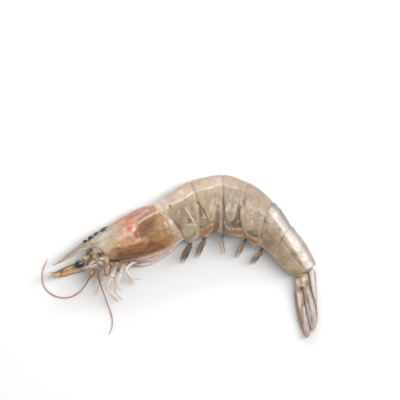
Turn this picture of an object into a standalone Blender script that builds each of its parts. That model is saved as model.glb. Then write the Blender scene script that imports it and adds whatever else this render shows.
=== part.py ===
"""A raw whole prawn, head and shell on, lying on its right side.

The head lies towards -X and the tail towards +X, +Y is towards the arch of the
back and +Z is up, towards the left side: the prawn rests on the plane z = 0.

The animal is drawn on a plan sheet whose unit is SHEET.  Sheet x runs to the
right, sheet y runs down, and heights above the table are in the same unit.
"""

import math

import bmesh
import bpy
import numpy as np
from mathutils import Vector

# ---------------------------------------------------------------- dimensions
SHEET = 0.00045          # one sheet unit in metres; the only size control
CENTRE = (179.35, 256.19)  # sheet point that sits over the origin
GAP = 0.72               # clearance between neighbouring pieces (0.32 mm)
BELLY = 0.82             # how far down the side the belly plate sits
SHELL = 2.0              # thickness of the free lower edges of the shell

# Carapace stations from the front margin to the rear margin:
# back x, y / lower edge x, y / half width / roll towards the viewer
CARAPACE = (
    (93.0, 236.3, 108.0, 261.0, 10.4, 1.0),
    (103.0, 230.0, 119.5, 262.0, 13.2, 1.6),
    (114.5, 223.6, 132.5, 261.8, 15.8, 2.4),
    (127.0, 215.6, 146.0, 259.8, 17.6, 3.0),
    (139.0, 209.2, 160.0, 254.8, 18.6, 2.8),
    (148.5, 205.4, 172.5, 248.4, 18.6, 2.0),
    (156.6, 203.2, 183.0, 239.2, 18.2, 0.6),
)
# Abdomen stations at whole and half segments: the same, with the bow of the
# rear edge towards the tail in place of the roll
ABDOMEN = (
    (157.4, 203.0, 183.8, 239.3, 18.2, 0.0),
    (172.5, 191.3, 190.8, 240.0, 18.6, 2.0),
    (189.5, 181.6, 199.0, 236.6, 18.8, 4.0),
    (206.0, 177.0, 211.0, 233.6, 18.6, 2.0),
    (222.0, 175.0, 222.3, 232.0, 18.2, 0.0),
    (235.5, 177.0, 233.5, 233.6, 17.6, -2.6),
    (248.0, 182.0, 246.0, 236.2, 16.8, -4.6),
    (261.0, 189.9, 252.5, 241.6, 15.8, -4.0),
    (273.0, 201.2, 259.6, 244.8, 14.6, -3.0),
    (283.0, 212.2, 265.5, 247.6, 13.3, -1.2),
    (291.0, 225.0, 271.5, 253.4, 12.1, 0.0),
    (304.5, 243.0, 284.0, 268.0, 10.2, 0.0),
    (315.6, 264.5, 297.0, 276.0, 8.2, 0.0),
)
# Where each lower shell edge dips between its two ends, in sheet units
LOBES = (1.5, 1.0, 2.2, 2.2, 0.8, 0.0)

TUBE_SIDES = 6


# ------------------------------------------------------------------- numbers
def spline(knots, values, at):
    """Natural cubic spline through the values at the knots."""
    t = np.asarray(knots, float)
    y = np.asarray(values, float)
    x = np.atleast_1d(np.asarray(at, float))
    n = len(t)
    h = np.diff(t)
    a = np.zeros((n, n))
    r = np.zeros((n,) + y.shape[1:])
    a[0, 0] = a[-1, -1] = 1.0
    for i in range(1, n - 1):
        a[i, i - 1], a[i, i], a[i, i + 1] = h[i - 1], 2 * (h[i - 1] + h[i]), h[i]
        r[i] = 6 * ((y[i + 1] - y[i]) / h[i] - (y[i] - y[i - 1]) / h[i - 1])
    m = np.linalg.solve(a, r)
    k = np.clip(np.searchsorted(t, x, side="right") - 1, 0, n - 2)
    hk = h[k]
    lo, hi = (t[k + 1] - x) / hk, (x - t[k]) / hk
    shape = (-1,) + (1,) * (y.ndim - 1)
    lo, hi, hk = lo.reshape(shape), hi.reshape(shape), hk.reshape(shape)
    return (lo * y[k] + hi * y[k + 1]
            + ((lo**3 - lo) * m[k] + (hi**3 - hi) * m[k + 1]) * hk**2 / 6)


def smooth(points, count):
    """A spline through the points, read at equal steps of its length."""
    p = np.asarray(points, float)
    t = np.concatenate([[0], np.cumsum(np.linalg.norm(np.diff(p[:, :3], axis=0), axis=1))])
    fine = spline(t, p, np.linspace(0, t[-1], 400))
    d = np.concatenate([[0], np.cumsum(np.linalg.norm(np.diff(fine[:, :3], axis=0), axis=1))])
    want = np.linspace(0, d[-1], count)
    return np.stack([np.interp(want, d, fine[:, i]) for i in range(p.shape[1])], axis=1)


def world(p):
    """Sheet point (x, y, height) to metres."""
    return Vector(((p[0] - CENTRE[0]) * SHEET, (CENTRE[1] - p[1]) * SHEET, p[2] * SHEET))


def rib(q):
    """Half width of a section at depth q, from the back (0) to the edge (1)."""
    peak = 0.46
    if q < peak:
        return math.sqrt(max(0.0, 1 - ((peak - q) / peak) ** 2.1))
    return 1 - 0.30 * ((q - peak) / (1 - peak)) ** 2.0


# ------------------------------------------------------------------ materials
def linear(rgb):
    return tuple((c / 255 / 12.92) if c / 255 <= 0.04045
                 else ((c / 255 + 0.055) / 1.055) ** 2.4 for c in rgb)


def material(name, rgb, roughness):
    mat = bpy.data.materials.new(name)
    mat.use_nodes = True
    shader = mat.node_tree.nodes["Principled BSDF"]
    shader.inputs["Base Color"].default_value = (*linear(rgb), 1)
    shader.inputs["Roughness"].default_value = roughness
    shader.inputs["Metallic"].default_value = 0.0
    return mat


# --------------------------------------------------------------------- meshes
def add(name, points, faces, rgb, roughness=0.3, flat_at_table=False):
    bm = bmesh.new()
    verts = [bm.verts.new(p) for p in points]
    for face in faces:
        bm.faces.new([verts[i] for i in face])
    bmesh.ops.recalc_face_normals(bm, faces=bm.faces)
    if flat_at_table:
        # the side that lies on the table is pressed flat
        bmesh.ops.bisect_plane(bm, geom=bm.verts[:] + bm.edges[:] + bm.faces[:],
                               dist=1e-7, plane_co=(0, 0, 0), plane_no=(0, 0, -1),
                               clear_outer=True)
        bmesh.ops.holes_fill(bm, edges=[e for e in bm.edges if e.is_boundary], sides=0)
    bmesh.ops.triangulate(bm, faces=[f for f in bm.faces if len(f.verts) > 4])
    bmesh.ops.recalc_face_normals(bm, faces=bm.faces)
    mesh = bpy.data.meshes.new(name)
    bm.to_mesh(mesh)
    bm.free()
    mesh.shade_smooth()
    mesh.set_sharp_from_angle(angle=math.radians(50))
    obj = bpy.data.objects.new(name, mesh)
    bpy.context.scene.collection.objects.link(obj)
    mesh.materials.append(material(name, rgb, roughness))
    return obj


def knees(route):
    """Straight shafts between joints: a ring beside each joint on both sides."""
    p = np.asarray(route, float)
    line = [p[0]]
    for i in range(1, len(p) - 1):
        before, after = p[i] - p[i - 1], p[i + 1] - p[i]
        line.append(p[i] - before * min(0.25, 1.3 / np.linalg.norm(before[:3])))
        line.append(p[i] + after * min(0.25, 1.3 / np.linalg.norm(after[:3])))
    line.append(p[-1])
    return np.array(line)


def limb(name, route, rgb, roughness=0.3, up=(0, 0, 1), rings=10, sides=TUBE_SIDES, jointed=False):
    """A tapering limb along a route of (x, y, height, half width, half
    thickness); its thickness lies along up and both ends close to a tip."""
    line = knees(route) if jointed else smooth(route, rings)
    rings = len(line)
    centre = line[:, :3]
    tangent = np.gradient(centre, axis=0)
    tangent /= np.linalg.norm(tangent, axis=1)[:, None]
    points, faces = [], []
    for i, (c, t) in enumerate(zip(centre, tangent)):
        side = np.cross(t, up)
        side /= np.linalg.norm(side)
        thick = np.cross(side, t)
        for j in range(sides):
            v = 2 * math.pi * (j + 0.5) / sides
            points.append(world(c + side * line[i, 3] * math.cos(v) + thick * line[i, 4] * math.sin(v)))
    for i in range(rings - 1):
        for j in range(sides):
            k = (j + 1) % sides
            faces.append((i * sides + j, i * sides + k, (i + 1) * sides + k, (i + 1) * sides + j))
    for i, sign in ((0, -1), (rings - 1, 1)):
        points.append(world(centre[i] + sign * tangent[i] * 0.45 * min(line[i, 3], line[i, 4], 2.0)))
        for j in range(sides):
            faces.append((i * sides + j, i * sides + (j + 1) % sides, len(points) - 1))
    return add(name, points, faces, rgb, roughness)


def ball(name, centre, radius, rgb, roughness=0.1, squash=(1, 1, 1), rows=7, cols=12):
    points, faces = [], []
    for i in range(1, rows):
        a = math.pi * i / rows
        for j in range(cols):
            b = 2 * math.pi * j / cols
            points.append(world((centre[0] + radius * squash[0] * math.sin(a) * math.cos(b),
                                 centre[1] + radius * squash[1] * math.sin(a) * math.sin(b),
                                 centre[2] + radius * squash[2] * math.cos(a))))
    for i in range(rows - 2):
        for j in range(cols):
            k = (j + 1) % cols
            faces.append((i * cols + j, i * cols + k, (i + 1) * cols + k, (i + 1) * cols + j))
    for row, sign in ((0, 1), (rows - 2, -1)):
        points.append(world((centre[0], centre[1], centre[2] + sign * radius * squash[2])))
        for j in range(cols):
            faces.append((row * cols + j, row * cols + (j + 1) % cols, len(points) - 1))
    return add(name, points, faces, rgb, roughness)


# ----------------------------------------------------------------- shell rings
DEPTHS = [0.5 * (1 - math.cos(math.pi * a)) / 0.5 * 0.5 for a in (0, 0.10, 0.19, 0.29, 0.40, 0.51, 0.62)]
DEPTHS += [BELLY, 0.91, 1.0]
FIRST_FREE = DEPTHS.index(BELLY)


def mid_height(stations, knots, at):
    """Height of the animal's middle plane: the wide stretches touch the table."""
    return float(spline(knots, [s[4] for s in stations], at)[0]) - 0.22


class Stretch:
    """A run of stations that can be read at any place along it."""

    def __init__(self, stations, step, rolled):
        self.knots = np.arange(len(stations)) * step
        self.table = np.array(stations, float)
        self.rolled = rolled

    def at(self, u):
        x0, y0, x1, y1, half, last = spline(self.knots, self.table, u)[0]
        back, edge = np.array((x0, y0)), np.array((x1, y1))
        down = (edge - back) / np.linalg.norm(edge - back)
        along = np.array((-down[1], down[0]))
        if along[0] < 0:
            along = -along
        return back, edge, down, along, half, last

    def ring(self, u, shift=0.0, lobe=0.0, height=None):
        """One closed section: the back, the left side, the inner face of the
        left edge, the belly, and the same on the right."""
        back, edge, down, along, half, last = self.at(u)
        mid = (half - 0.22) if height is None else height
        roll = last if self.rolled else 0.0
        bow = 0.0 if self.rolled else last

        def point(q, lateral):
            p = back + (edge - back) * q + down * (lobe * q**3)
            p = p + along * (bow * 4 * q * (1 - q) + shift)
            p = p - down * roll * (lateral / half) * q * q
            return world((p[0], p[1], mid + lateral))

        out = [half * rib(q) for q in DEPTHS]
        outer = [point(q, w) for q, w in zip(DEPTHS, out)]
        inner = [point(q, w - SHELL) for q, w in list(zip(DEPTHS, out))[FIRST_FREE:]]
        outer_r = [point(q, -w) for q, w in zip(DEPTHS, out)]
        inner_r = [point(q, SHELL - w) for q, w in list(zip(DEPTHS, out))[FIRST_FREE:]]
        belly = point(BELLY, 0.0)
        return outer + inner[::-1] + [belly] + inner_r + outer_r[:0:-1]


def cap(base, flip):
    """Faces that close a section, in strips across the animal."""
    n, f = len(DEPTHS), FIRST_FREE
    free = n - f
    left = list(range(n))
    left_in = [n + free - 1 - i for i in range(free)]
    belly = n + free
    right_in = [belly + 1 + i for i in range(free)]
    right = [0] + [belly + 1 + free + (n - 1 - i) for i in range(1, n)]
    faces = [(left[0], left[1], right[1])]
    for i in range(1, f - 1):
        faces.append((left[i], left[i + 1], right[i + 1], right[i]))
    faces.append((left[f - 1], left[f], left_in[0], belly))
    faces.append((left[f - 1], belly, right[f - 1]))
    faces.append((right[f - 1], belly, right_in[0], right[f]))
    for i in range(free - 1):
        faces.append((left[f + i], left[f + i + 1], left_in[i + 1], left_in[i]))
        faces.append((right[f + i], right_in[i], right_in[i + 1], right[f + i + 1]))
    return [tuple(base + i for i in (face[::-1] if flip else face)) for face in faces]


def shell(name, rings, rgb, flat=True, **extra):
    size = len(rings[0])
    points = [p for ring in rings for p in ring]
    faces = []
    for i in range(len(rings) - 1):
        for j in range(size):
            k = (j + 1) % size
            faces.append((i * size + j, (i + 1) * size + j, (i + 1) * size + k, i * size + k))
    faces += cap(0, False) + cap((len(rings) - 1) * size, True)
    return add(name, points, faces, rgb, flat_at_table=flat, **extra)


# ---------------------------------------------------------------------- build
def clear():
    for obj in list(bpy.data.objects):
        bpy.data.objects.remove(obj, do_unlink=True)


HEAD = Stretch(CARAPACE, 1.0, True)
TAIL = Stretch(ABDOMEN, 0.5, False)
HEAD_MID = 18.30          # height of the middle plane of the head
TAIL_MID = 6.6            # and of the tail fan


def carapace():
    last = len(CARAPACE) - 1
    rings = []
    for u in np.linspace(0, last, 13):
        low = HEAD_MID if u < 3.5 else HEAD_MID + (HEAD.at(u)[4] - 0.22 - HEAD_MID) * ((u - 3.5) / (last - 3.5))
        rings.append(HEAD.ring(u, height=low))
    body = shell("carapace", rings, (176, 132, 92))
    # the rostrum: a thin toothed blade that runs on from the ridge of the back
    top = smooth([(128, 216.5, 0), (116, 222.8, 0), (100, 231.3, 0), (85, 242, 0), (70, 253.4, 0), (53, 265, 0)], 25)
    under = smooth([(128, 226, 0), (112, 236, 0), (98, 243, 0), (88, 247.5, 0), (75, 254, 0), (53.4, 265.4, 0)], 25)
    teeth = (4, 7, 10, 12, 14, 16, 18)
    outline = []
    for i, p in enumerate(top):
        lift = 2.2 - 0.06 * i if i in teeth else 0.0
        outline.append((p[0] - 1.1 * bool(lift), p[1] - lift, 0.3 + 2.0 * (1 - i / 24) ** 0.7))
    count = len(outline)
    outline += [(p[0], p[1], 0.3 + 2.2 * (1 - i / 24) ** 0.7) for i, p in reversed(list(enumerate(under)))][1:]
    points = [world((x, y, HEAD_MID + t)) for x, y, t in outline]
    points += [world((x, y, HEAD_MID - t)) for x, y, t in outline]
    n = len(outline)
    faces = [(i, (i + 1) % n, n + (i + 1) % n, n + i) for i in range(n)]
    # strips from the upper edge to the lower edge, on both faces
    for i in range(count - 1):
        a, b = i, i + 1
        c, d = (n - 1 - i), (n - 2 - i)
        if d <= b:
            faces += [(a, b, c), (n + a, n + c, n + b)]
        else:
            faces += [(a, b, d, c), (n + a, n + c, n + d, n + b)]
    blade = add("rostrum_blade", points, faces, (176, 160, 146))
    blade.hide_render = True
    blade.display_type = "WIRE"
    join = body.modifiers.new("Join rostrum", "BOOLEAN")
    join.operation = "UNION"
    join.solver = "EXACT"
    join.object = blade
    return body


def abdomen():
    shades = ((172, 148, 120), (160, 138, 112), (150, 128, 108), (166, 142, 116), (176, 152, 126), (186, 166, 144))
    for seg in range(6):
        rings = []
        count = 7 if seg < 5 else 8
        for i, u in enumerate(np.linspace(seg, seg + 1, count)):
            shift = GAP / 2 if i == 0 else (-GAP / 2 if i == count - 1 else 0.0)
            t = u - seg
            rings.append(TAIL.ring(u, shift=shift, lobe=LOBES[seg] * math.sin(math.pi * t)))
        shell(f"abdomen_{seg + 1}", rings, shades[seg])


def tail_fan():
    pale, warm = (206, 194, 184), (196, 174, 152)
    # telson: a narrow wedge on the line of the back
    limb("telson", [(311.9, 270.2, 7.4, 4.0, 5.0), (312.9, 279, 7.2, 4.0, 4.4), (314.3, 290, 6.6, 2.9, 3.0),
                    (316.2, 302, 6.0, 1.4, 1.6), (317.3, 311, 5.6, 0.4, 0.5)], pale, rings=9, sides=8)
    for side, sign in (("left", 1), ("right", -1)):
        z = TAIL_MID
        limb(f"uropod_base_{side}", [(302.4, 276.6, z + sign * 3.3, 4.4, 2.2), (302.0, 282.0, z + sign * 3.7, 5.4, 2.6),
                                     (303.0, 288.6, z + sign * 3.5, 5.6, 2.2)], warm, rings=6, sides=8)
        limb(f"uropod_inner_{side}", [(306.8, 291.8, z + sign * 4.4, 3.2, 0.9), (309.0, 299, z + sign * 4.3, 4.4, 1.0),
                                      (312.0, 311, z + sign * 3.9, 5.2, 0.9), (313.4, 322, z + sign * 3.3, 4.2, 0.7),
                                      (312.2, 331.2, z + sign * 2.8, 1.0, 0.4)], pale, rings=10, sides=8)
        limb(f"uropod_outer_{side}", [(299.8, 291.8, z + sign * 2.4, 4.0, 0.9), (301.6, 303, z + sign * 2.2, 6.0, 0.9),
                                      (304.6, 317, z + sign * 1.6, 6.6, 0.8), (306.8, 329, z + sign * 1.2, 5.0, 0.6),
                                      (307.4, 337.2, z + sign * 1.0, 1.8, 0.4)], pale, rings=10, sides=8)


def head_parts():
    horn, dark = (190, 164, 132), (58, 56, 54)
    z = HEAD_MID
    for side, sign in (("left", 1), ("right", -1)):
        ball(f"eye_{side}", (79.6, 263.2, z + sign * 9.6), 5.6, dark, squash=(1.06, 0.96, 0.88))
        limb(f"eyestalk_{side}", [(84.9, 258.6, z + sign * 8.6, 3.3, 3.0), (88.0, 255.6, z + sign * 7.2, 3.7, 3.3),
                                  (91.2, 251.9, z + sign * 5.4, 3.7, 3.4)], (150, 122, 90), rings=5, sides=8)
        limb(f"antennal_scale_{side}", [(94.6, 267.2, z + sign * 3.5, 3.0, 0.8), (84, 268.6, z + sign * 3.4, 4.6, 0.75),
                                        (71, 270.6, z + sign * 3.3, 5.9, 0.7), (60, 273.6, z + sign * 3.1, 3.6, 0.55),
                                        (53.6, 275.6, z + sign * 3.0, 1.0, 0.4)], horn, rings=9)
        limb(f"antennule_{side}", [(86.6, 264.9, z + sign * 1.15, 1.4, 0.75), (76, 266.6, z + sign * 1.1, 1.3, 0.75),
                                   (67, 268.2, z + sign * 1.1, 1.1, 0.7), (57, 272.8, z + sign * 0.95, 0.55, 0.5),
                                   (49.6, 275.6, z + sign * 0.8, 0.35, 0.35)], horn, rings=9)
    # the solid front of the head, under the rostrum, that the eyes and feelers grow from
    limb("head_front", [(102.3, 255.2, z, 8.2, 7.6), (99.4, 257.7, z, 6.6, 7.4), (95.0, 261.0, z, 3.9, 3.8),
                        (89.6, 263.4, z, 2.2, 2.6)], (160, 134, 104), rings=7, sides=12)


def antenna(name, route):
    line = smooth(route, 38)
    curve = bpy.data.curves.new(name, "CURVE")
    curve.dimensions = "3D"
    curve.bevel_depth = 0.8 * SHEET
    curve.bevel_resolution = 2
    curve.use_fill_caps = True
    thread = curve.splines.new("POLY")
    thread.points.add(len(line) - 1)
    for point, p in zip(thread.points, line):
        point.co = (*world(p), 1)
        point.radius = p[3]
    curve.materials.append(material(name, (206, 120, 104), 0.35))
    obj = bpy.data.objects.new(name, curve)
    bpy.context.scene.collection.objects.link(obj)


def antennae():
    z = HEAD_MID
    antenna("antenna_left", [(97.5, 274.6, z + 5.3, 1.25), (100.9, 285.6, z + 1, 1.1), (103.8, 293.6, z - 6, 1.0),
                             (106.6, 302.8, z - 12, 0.95), (110.1, 311.4, 2.2, 0.9), (112.1, 321.8, 1.2, 0.8),
                             (111.4, 328.6, 1.2, 0.7), (108.9, 334.6, 1.2, 0.55)])
    antenna("antenna_right", [(92.0, 273.4, z - 6.0, 1.25), (86, 284, z - 10.5, 1.1), (76, 294.8, 3.0, 1.0),
                              (64, 298.2, 1.4, 0.95), (52, 295, 1.2, 0.9), (43.6, 286.6, 1.2, 0.85),
                              (41.6, 276.0, 1.2, 0.75), (43.6, 266.5, 1.2, 0.65), (46.8, 259.6, 1.2, 0.5)])


def legs():
    pink = (214, 192, 172)
    z = HEAD_MID
    # walking legs: hip, knee and so on to the tip; (x, y, height), radius from root to tip
    routes = {
        "left_1": ([(115.0, 265.6, z + 6.4), (112.8, 277.2, z + 9), (106.4, 288.6, z + 6), (110.4, 294.4, z + 1), (117.4, 300.8, z - 6)], 1.8),
        "left_2": ([(124.6, 265.0, z + 6.5), (121.2, 273.4, z + 10), (117.0, 284.2, z + 9.4), (114.8, 291.6, z + 6), (121.8, 299.6, z - 1)], 1.7),
        "left_3": ([(135.4, 262.2, z + 6.2), (130.4, 264.6, z + 9.4), (125.4, 269.2, z + 10), (131.4, 277.6, z + 8), (140.6, 278.8, z + 3)], 1.6),
        "left_4": ([(143.4, 257.6, z + 6), (151, 257.4, z + 7), (160, 255.2, z + 7), (168, 250.8, z + 6.4)], 1.4),
        "left_5": ([(150.0, 252.6, z + 6), (157, 252.0, z + 6), (165, 248.4, z + 5.2), (172, 243.4, z + 4.4)], 1.3),
        "right_1": ([(111.0, 266.4, z - 4.6), (104.4, 276.8, z - 1.5), (99.6, 284.4, z - 6), (97.0, 293.6, z - 14)], 1.7),
        "right_2": ([(120.0, 265.6, z - 5), (114.6, 275.0, z - 5), (115.6, 281.6, z - 8), (120.6, 289.6, z - 14)], 1.6),
        "right_3": ([(129.8, 263.2, z - 5), (126.2, 270.4, z - 6), (129.2, 277.0, z - 9), (133.6, 283.4, z - 14)], 1.5),
        "right_4": ([(141.2, 257.4, z - 4.6), (149.4, 260.4, z - 4.6), (158, 258.2, z - 4.6), (166.6, 253.4, z - 4.6)], 1.4),
        "right_5": ([(150.2, 252.6, z - 5), (157.6, 253.2, z - 5), (166.0, 249.4, z - 5), (172.6, 244.6, z - 5)], 1.3),
    }
    for name, (joints, thick) in routes.items():
        n = len(joints) - 1
        # a broad flat upper joint, then slender shafts
        wide = [1.45, 1.05] + [1 - 0.5 * i / n for i in range(2, n + 1)]
        deep = [0.95, 0.85] + [1 - 0.5 * i / n for i in range(2, n + 1)]
        route = [(*p, thick * wide[i], thick * deep[i]) for i, p in enumerate(joints)]
        limb(f"leg_{name}", route, pink, jointed=True)
    for side, sign in (("left", 1), ("right", -1)):
        limb(f"mouth_limb_{side}", [(104.6, 266.2, z + sign * 3.4, 2.0, 1.9), (99.5, 271.4, z + sign * 3.0, 2.2, 1.4),
                                    (90, 275.2, z + sign * 2.6, 1.6, 1.2), (82.6, 276.4, z + sign * 2.4, 0.6, 0.5)],
             (150, 122, 96), rings=7)


def swimmerets():
    """Five pairs of paddles under the abdomen, folded as they lie."""
    brown = (132, 106, 88)
    # root place along the abdomen, then the knee and the tip on the sheet
    plan = (
        (0.60, (187.0, 249.0), (182.0, 262.0)),
        (1.45, (201.6, 244.0), (195.4, 256.0)),
        (2.42, (219.4, 240.6), (221.2, 252.6)),
        (3.42, (240.4, 245.0), (234.2, 256.8)),
        (4.45, (258.4, 253.6), (250.4, 263.2)),
    )
    for number, (u, knee, tip) in enumerate(plan, start=1):
        back, edge, down, along, half, bow = TAIL.at(u)
        mid = half - 0.22
        root = back + (edge - back) * BELLY + down * 3.4 + along * bow * 0.6
        for side, sign in (("left", 1), ("right", -1)):
            off = sign * (half * 0.34)
            lag = 0.0 if sign > 0 else 3.0
            limb(f"swimmeret_{side}_{number}",
                 [(root[0], root[1], mid + off, 2.0, 1.6),
                  (root[0] * 0.4 + knee[0] * 0.6 + lag * 0.3, root[1] * 0.4 + knee[1] * 0.6, mid + off * 1.05, 2.2, 1.5),
                  (knee[0] + lag * 0.8, knee[1], mid + off * 1.0, 2.6, 1.2),
                  (knee[0] * 0.45 + tip[0] * 0.55 + lag, knee[1] * 0.45 + tip[1] * 0.55, mid + off * 0.95 - 0.5, 2.4, 0.8),
                  (tip[0] + lag, tip[1], mid + off * 0.9 - 1.2, 0.8, 0.5)],
                 brown, rings=8)


def main():
    clear()
    carapace()
    abdomen()
    tail_fan()
    head_parts()
    antennae()
    legs()
    swimmerets()


main()
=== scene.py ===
import math

import bmesh
import bpy
import numpy as np
from mathutils import Matrix, Vector


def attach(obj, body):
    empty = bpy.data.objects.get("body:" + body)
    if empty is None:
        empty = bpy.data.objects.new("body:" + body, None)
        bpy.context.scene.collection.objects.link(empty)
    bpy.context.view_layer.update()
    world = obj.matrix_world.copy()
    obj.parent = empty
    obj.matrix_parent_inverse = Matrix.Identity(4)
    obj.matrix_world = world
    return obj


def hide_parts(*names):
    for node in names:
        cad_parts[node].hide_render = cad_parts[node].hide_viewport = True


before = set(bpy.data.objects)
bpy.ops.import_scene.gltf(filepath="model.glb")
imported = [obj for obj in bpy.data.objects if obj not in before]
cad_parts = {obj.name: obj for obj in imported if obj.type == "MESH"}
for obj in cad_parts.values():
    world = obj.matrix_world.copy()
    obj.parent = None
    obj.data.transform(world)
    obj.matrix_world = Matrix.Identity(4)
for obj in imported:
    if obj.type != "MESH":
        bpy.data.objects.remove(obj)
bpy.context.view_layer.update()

# =====================================================================
# The plan sheet that the animal is drawn on: one unit is 0.45 mm, x runs
# right, y runs down, heights above the table are in the same unit.
# =====================================================================
SHEET = 0.00045
CENTRE = (179.35, 256.19)
BELLY = 0.82
SHELL = 2.0
HEAD_MID = 18.30
TAIL_MID = 6.6

# back x, y / lower edge x, y / half width / roll
CARAPACE = (
    (93.0, 236.3, 108.0, 261.0, 10.4, 1.0),
    (103.0, 230.0, 119.5, 262.0, 13.2, 1.6),
    (114.5, 223.6, 132.5, 261.8, 15.8, 2.4),
    (127.0, 215.6, 146.0, 259.8, 17.6, 3.0),
    (139.0, 209.2, 160.0, 254.8, 18.6, 2.8),
    (148.5, 205.4, 172.5, 248.4, 18.6, 2.0),
    (156.6, 203.2, 183.0, 239.2, 18.2, 0.6),
)
# back x, y / lower edge x, y / half width / bow of the rear edge
ABDOMEN = (
    (157.4, 203.0, 183.8, 239.3, 18.2, 0.0),
    (172.5, 191.3, 190.8, 240.0, 18.6, 2.0),
    (189.5, 181.6, 199.0, 236.6, 18.8, 4.0),
    (206.0, 177.0, 211.0, 233.6, 18.6, 2.0),
    (222.0, 175.0, 222.3, 232.0, 18.2, 0.0),
    (235.5, 177.0, 233.5, 233.6, 17.6, -2.6),
    (248.0, 182.0, 246.0, 236.2, 16.8, -4.6),
    (261.0, 189.9, 252.5, 241.6, 15.8, -4.0),
    (273.0, 201.2, 259.6, 244.8, 14.6, -3.0),
    (283.0, 212.2, 265.5, 247.6, 13.3, -1.2),
    (291.0, 225.0, 271.5, 253.4, 12.1, 0.0),
    (304.5, 243.0, 284.0, 268.0, 10.2, 0.0),
    (315.6, 264.5, 297.0, 276.0, 8.2, 0.0),
)
LOBES = (1.5, 1.0, 2.2, 2.2, 0.8, 0.0)


# ------------------------------------------------------------- numbers
def spline(knots, values, at):
    """Natural cubic spline through the values at the knots."""
    t = np.asarray(knots, float)
    y = np.asarray(values, float)
    x = np.atleast_1d(np.asarray(at, float))
    n = len(t)
    h = np.diff(t)
    a = np.zeros((n, n))
    r = np.zeros((n,) + y.shape[1:])
    a[0, 0] = a[-1, -1] = 1.0
    for i in range(1, n - 1):
        a[i, i - 1], a[i, i], a[i, i + 1] = h[i - 1], 2 * (h[i - 1] + h[i]), h[i]
        r[i] = 6 * ((y[i + 1] - y[i]) / h[i] - (y[i] - y[i - 1]) / h[i - 1])
    m = np.linalg.solve(a, r)
    k = np.clip(np.searchsorted(t, x, side="right") - 1, 0, n - 2)
    hk = h[k]
    lo, hi = (t[k + 1] - x) / hk, (x - t[k]) / hk
    shape = (-1,) + (1,) * (y.ndim - 1)
    lo, hi, hk = lo.reshape(shape), hi.reshape(shape), hk.reshape(shape)
    return (lo * y[k] + hi * y[k + 1]
            + ((lo**3 - lo) * m[k] + (hi**3 - hi) * m[k + 1]) * hk**2 / 6)


def smooth(points, count):
    """A spline through the points, read at equal steps of its length."""
    p = np.asarray(points, float)
    t = np.concatenate([[0], np.cumsum(np.linalg.norm(np.diff(p[:, :3], axis=0), axis=1))])
    fine = spline(t, p, np.linspace(0, t[-1], 600))
    d = np.concatenate([[0], np.cumsum(np.linalg.norm(np.diff(fine[:, :3], axis=0), axis=1))])
    want = np.linspace(0, d[-1], count)
    return np.stack([np.interp(want, d, fine[:, i]) for i in range(p.shape[1])], axis=1)


def bent(points, count, soft=1.2):
    """Straight shafts between joints, with the corners only just rounded."""
    p = np.asarray(points, float)
    d = np.concatenate([[0], np.cumsum(np.linalg.norm(np.diff(p[:, :3], axis=0), axis=1))])
    want = np.linspace(0, d[-1], count)
    line = np.stack([np.interp(want, d, p[:, i]) for i in range(p.shape[1])], axis=1)
    reach = max(1, int(round(soft / (d[-1] / (count - 1)))))
    for _ in range(2):
        padded = np.concatenate([np.repeat(line[:1], reach, 0), line, np.repeat(line[-1:], reach, 0)])
        kernel = np.ones(2 * reach + 1) / (2 * reach + 1)
        soft_line = np.stack([np.convolve(padded[:, i], kernel, "valid") for i in range(line.shape[1])], axis=1)
        ends = np.minimum(np.arange(count), np.arange(count)[::-1])[:, None] / reach
        blend = np.clip(ends, 0, 1)
        line = line * (1 - blend) + soft_line * blend
    return line, d / d[-1]


def step(lo, hi, x):
    t = np.clip((np.asarray(x, float) - lo) / (hi - lo), 0, 1)
    return t * t * (3 - 2 * t)


def noise3(p, size, seed=0):
    """Smooth repeatable noise from -1 to 1 with features of about this size."""
    q = np.asarray(p, float) / size
    base = np.floor(q).astype(np.int64)
    f = q - base
    f = f * f * f * (f * (f * 6 - 15) + 10)

    def corner(dx, dy, dz):
        n = ((base[..., 0] + dx) * 73856093) ^ ((base[..., 1] + dy) * 19349663) ^ ((base[..., 2] + dz) * 83492791)
        n = (n + seed * 7919) & 0xFFFFFFFF
        n = ((n ^ (n >> 15)) * 2246822519) & 0xFFFFFFFF
        n = ((n ^ (n >> 13)) * 3266489917) & 0xFFFFFFFF
        n = (n ^ (n >> 16)) & 0xFFFFFFFF
        return n / 2147483647.5 - 1

    x, y, z = f[..., 0], f[..., 1], f[..., 2]
    c00 = corner(0, 0, 0) * (1 - x) + corner(1, 0, 0) * x
    c10 = corner(0, 1, 0) * (1 - x) + corner(1, 1, 0) * x
    c01 = corner(0, 0, 1) * (1 - x) + corner(1, 0, 1) * x
    c11 = corner(0, 1, 1) * (1 - x) + corner(1, 1, 1) * x
    return (c00 * (1 - y) + c10 * y) * (1 - z) + (c01 * (1 - y) + c11 * y) * z


def fbm(p, size, octaves=3, seed=0):
    total, gain, norm = 0.0, 1.0, 0.0
    for i in range(octaves):
        total = total + noise3(p, size / 2**i, seed + 31 * i) * gain
        norm += gain
        gain *= 0.55
    return total / norm


# ---------------------------------------------------------- soft masks
def oval(x, y, cx, cy, rx, ry, turn=0.0, soft=0.5):
    """1 inside an ellipse on the sheet, falling softly to 0 outside."""
    a = math.radians(turn)
    dx, dy = x - cx, y - cy
    ex = (dx * math.cos(a) + dy * math.sin(a)) / rx
    ey = (-dx * math.sin(a) + dy * math.cos(a)) / ry
    d = np.sqrt(ex**2 + ey**2)
    return 1 - step(1 - soft, 1 + soft, d)


def far(x, y, points):
    """Distance on the sheet from a bent line."""
    best = np.full(np.shape(x), 1e9)
    for (ax, ay), (bx, by) in zip(points[:-1], points[1:]):
        vx, vy = bx - ax, by - ay
        t = np.clip(((x - ax) * vx + (y - ay) * vy) / (vx * vx + vy * vy), 0, 1)
        best = np.minimum(best, np.hypot(x - ax - vx * t, y - ay - vy * t))
    return best


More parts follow.
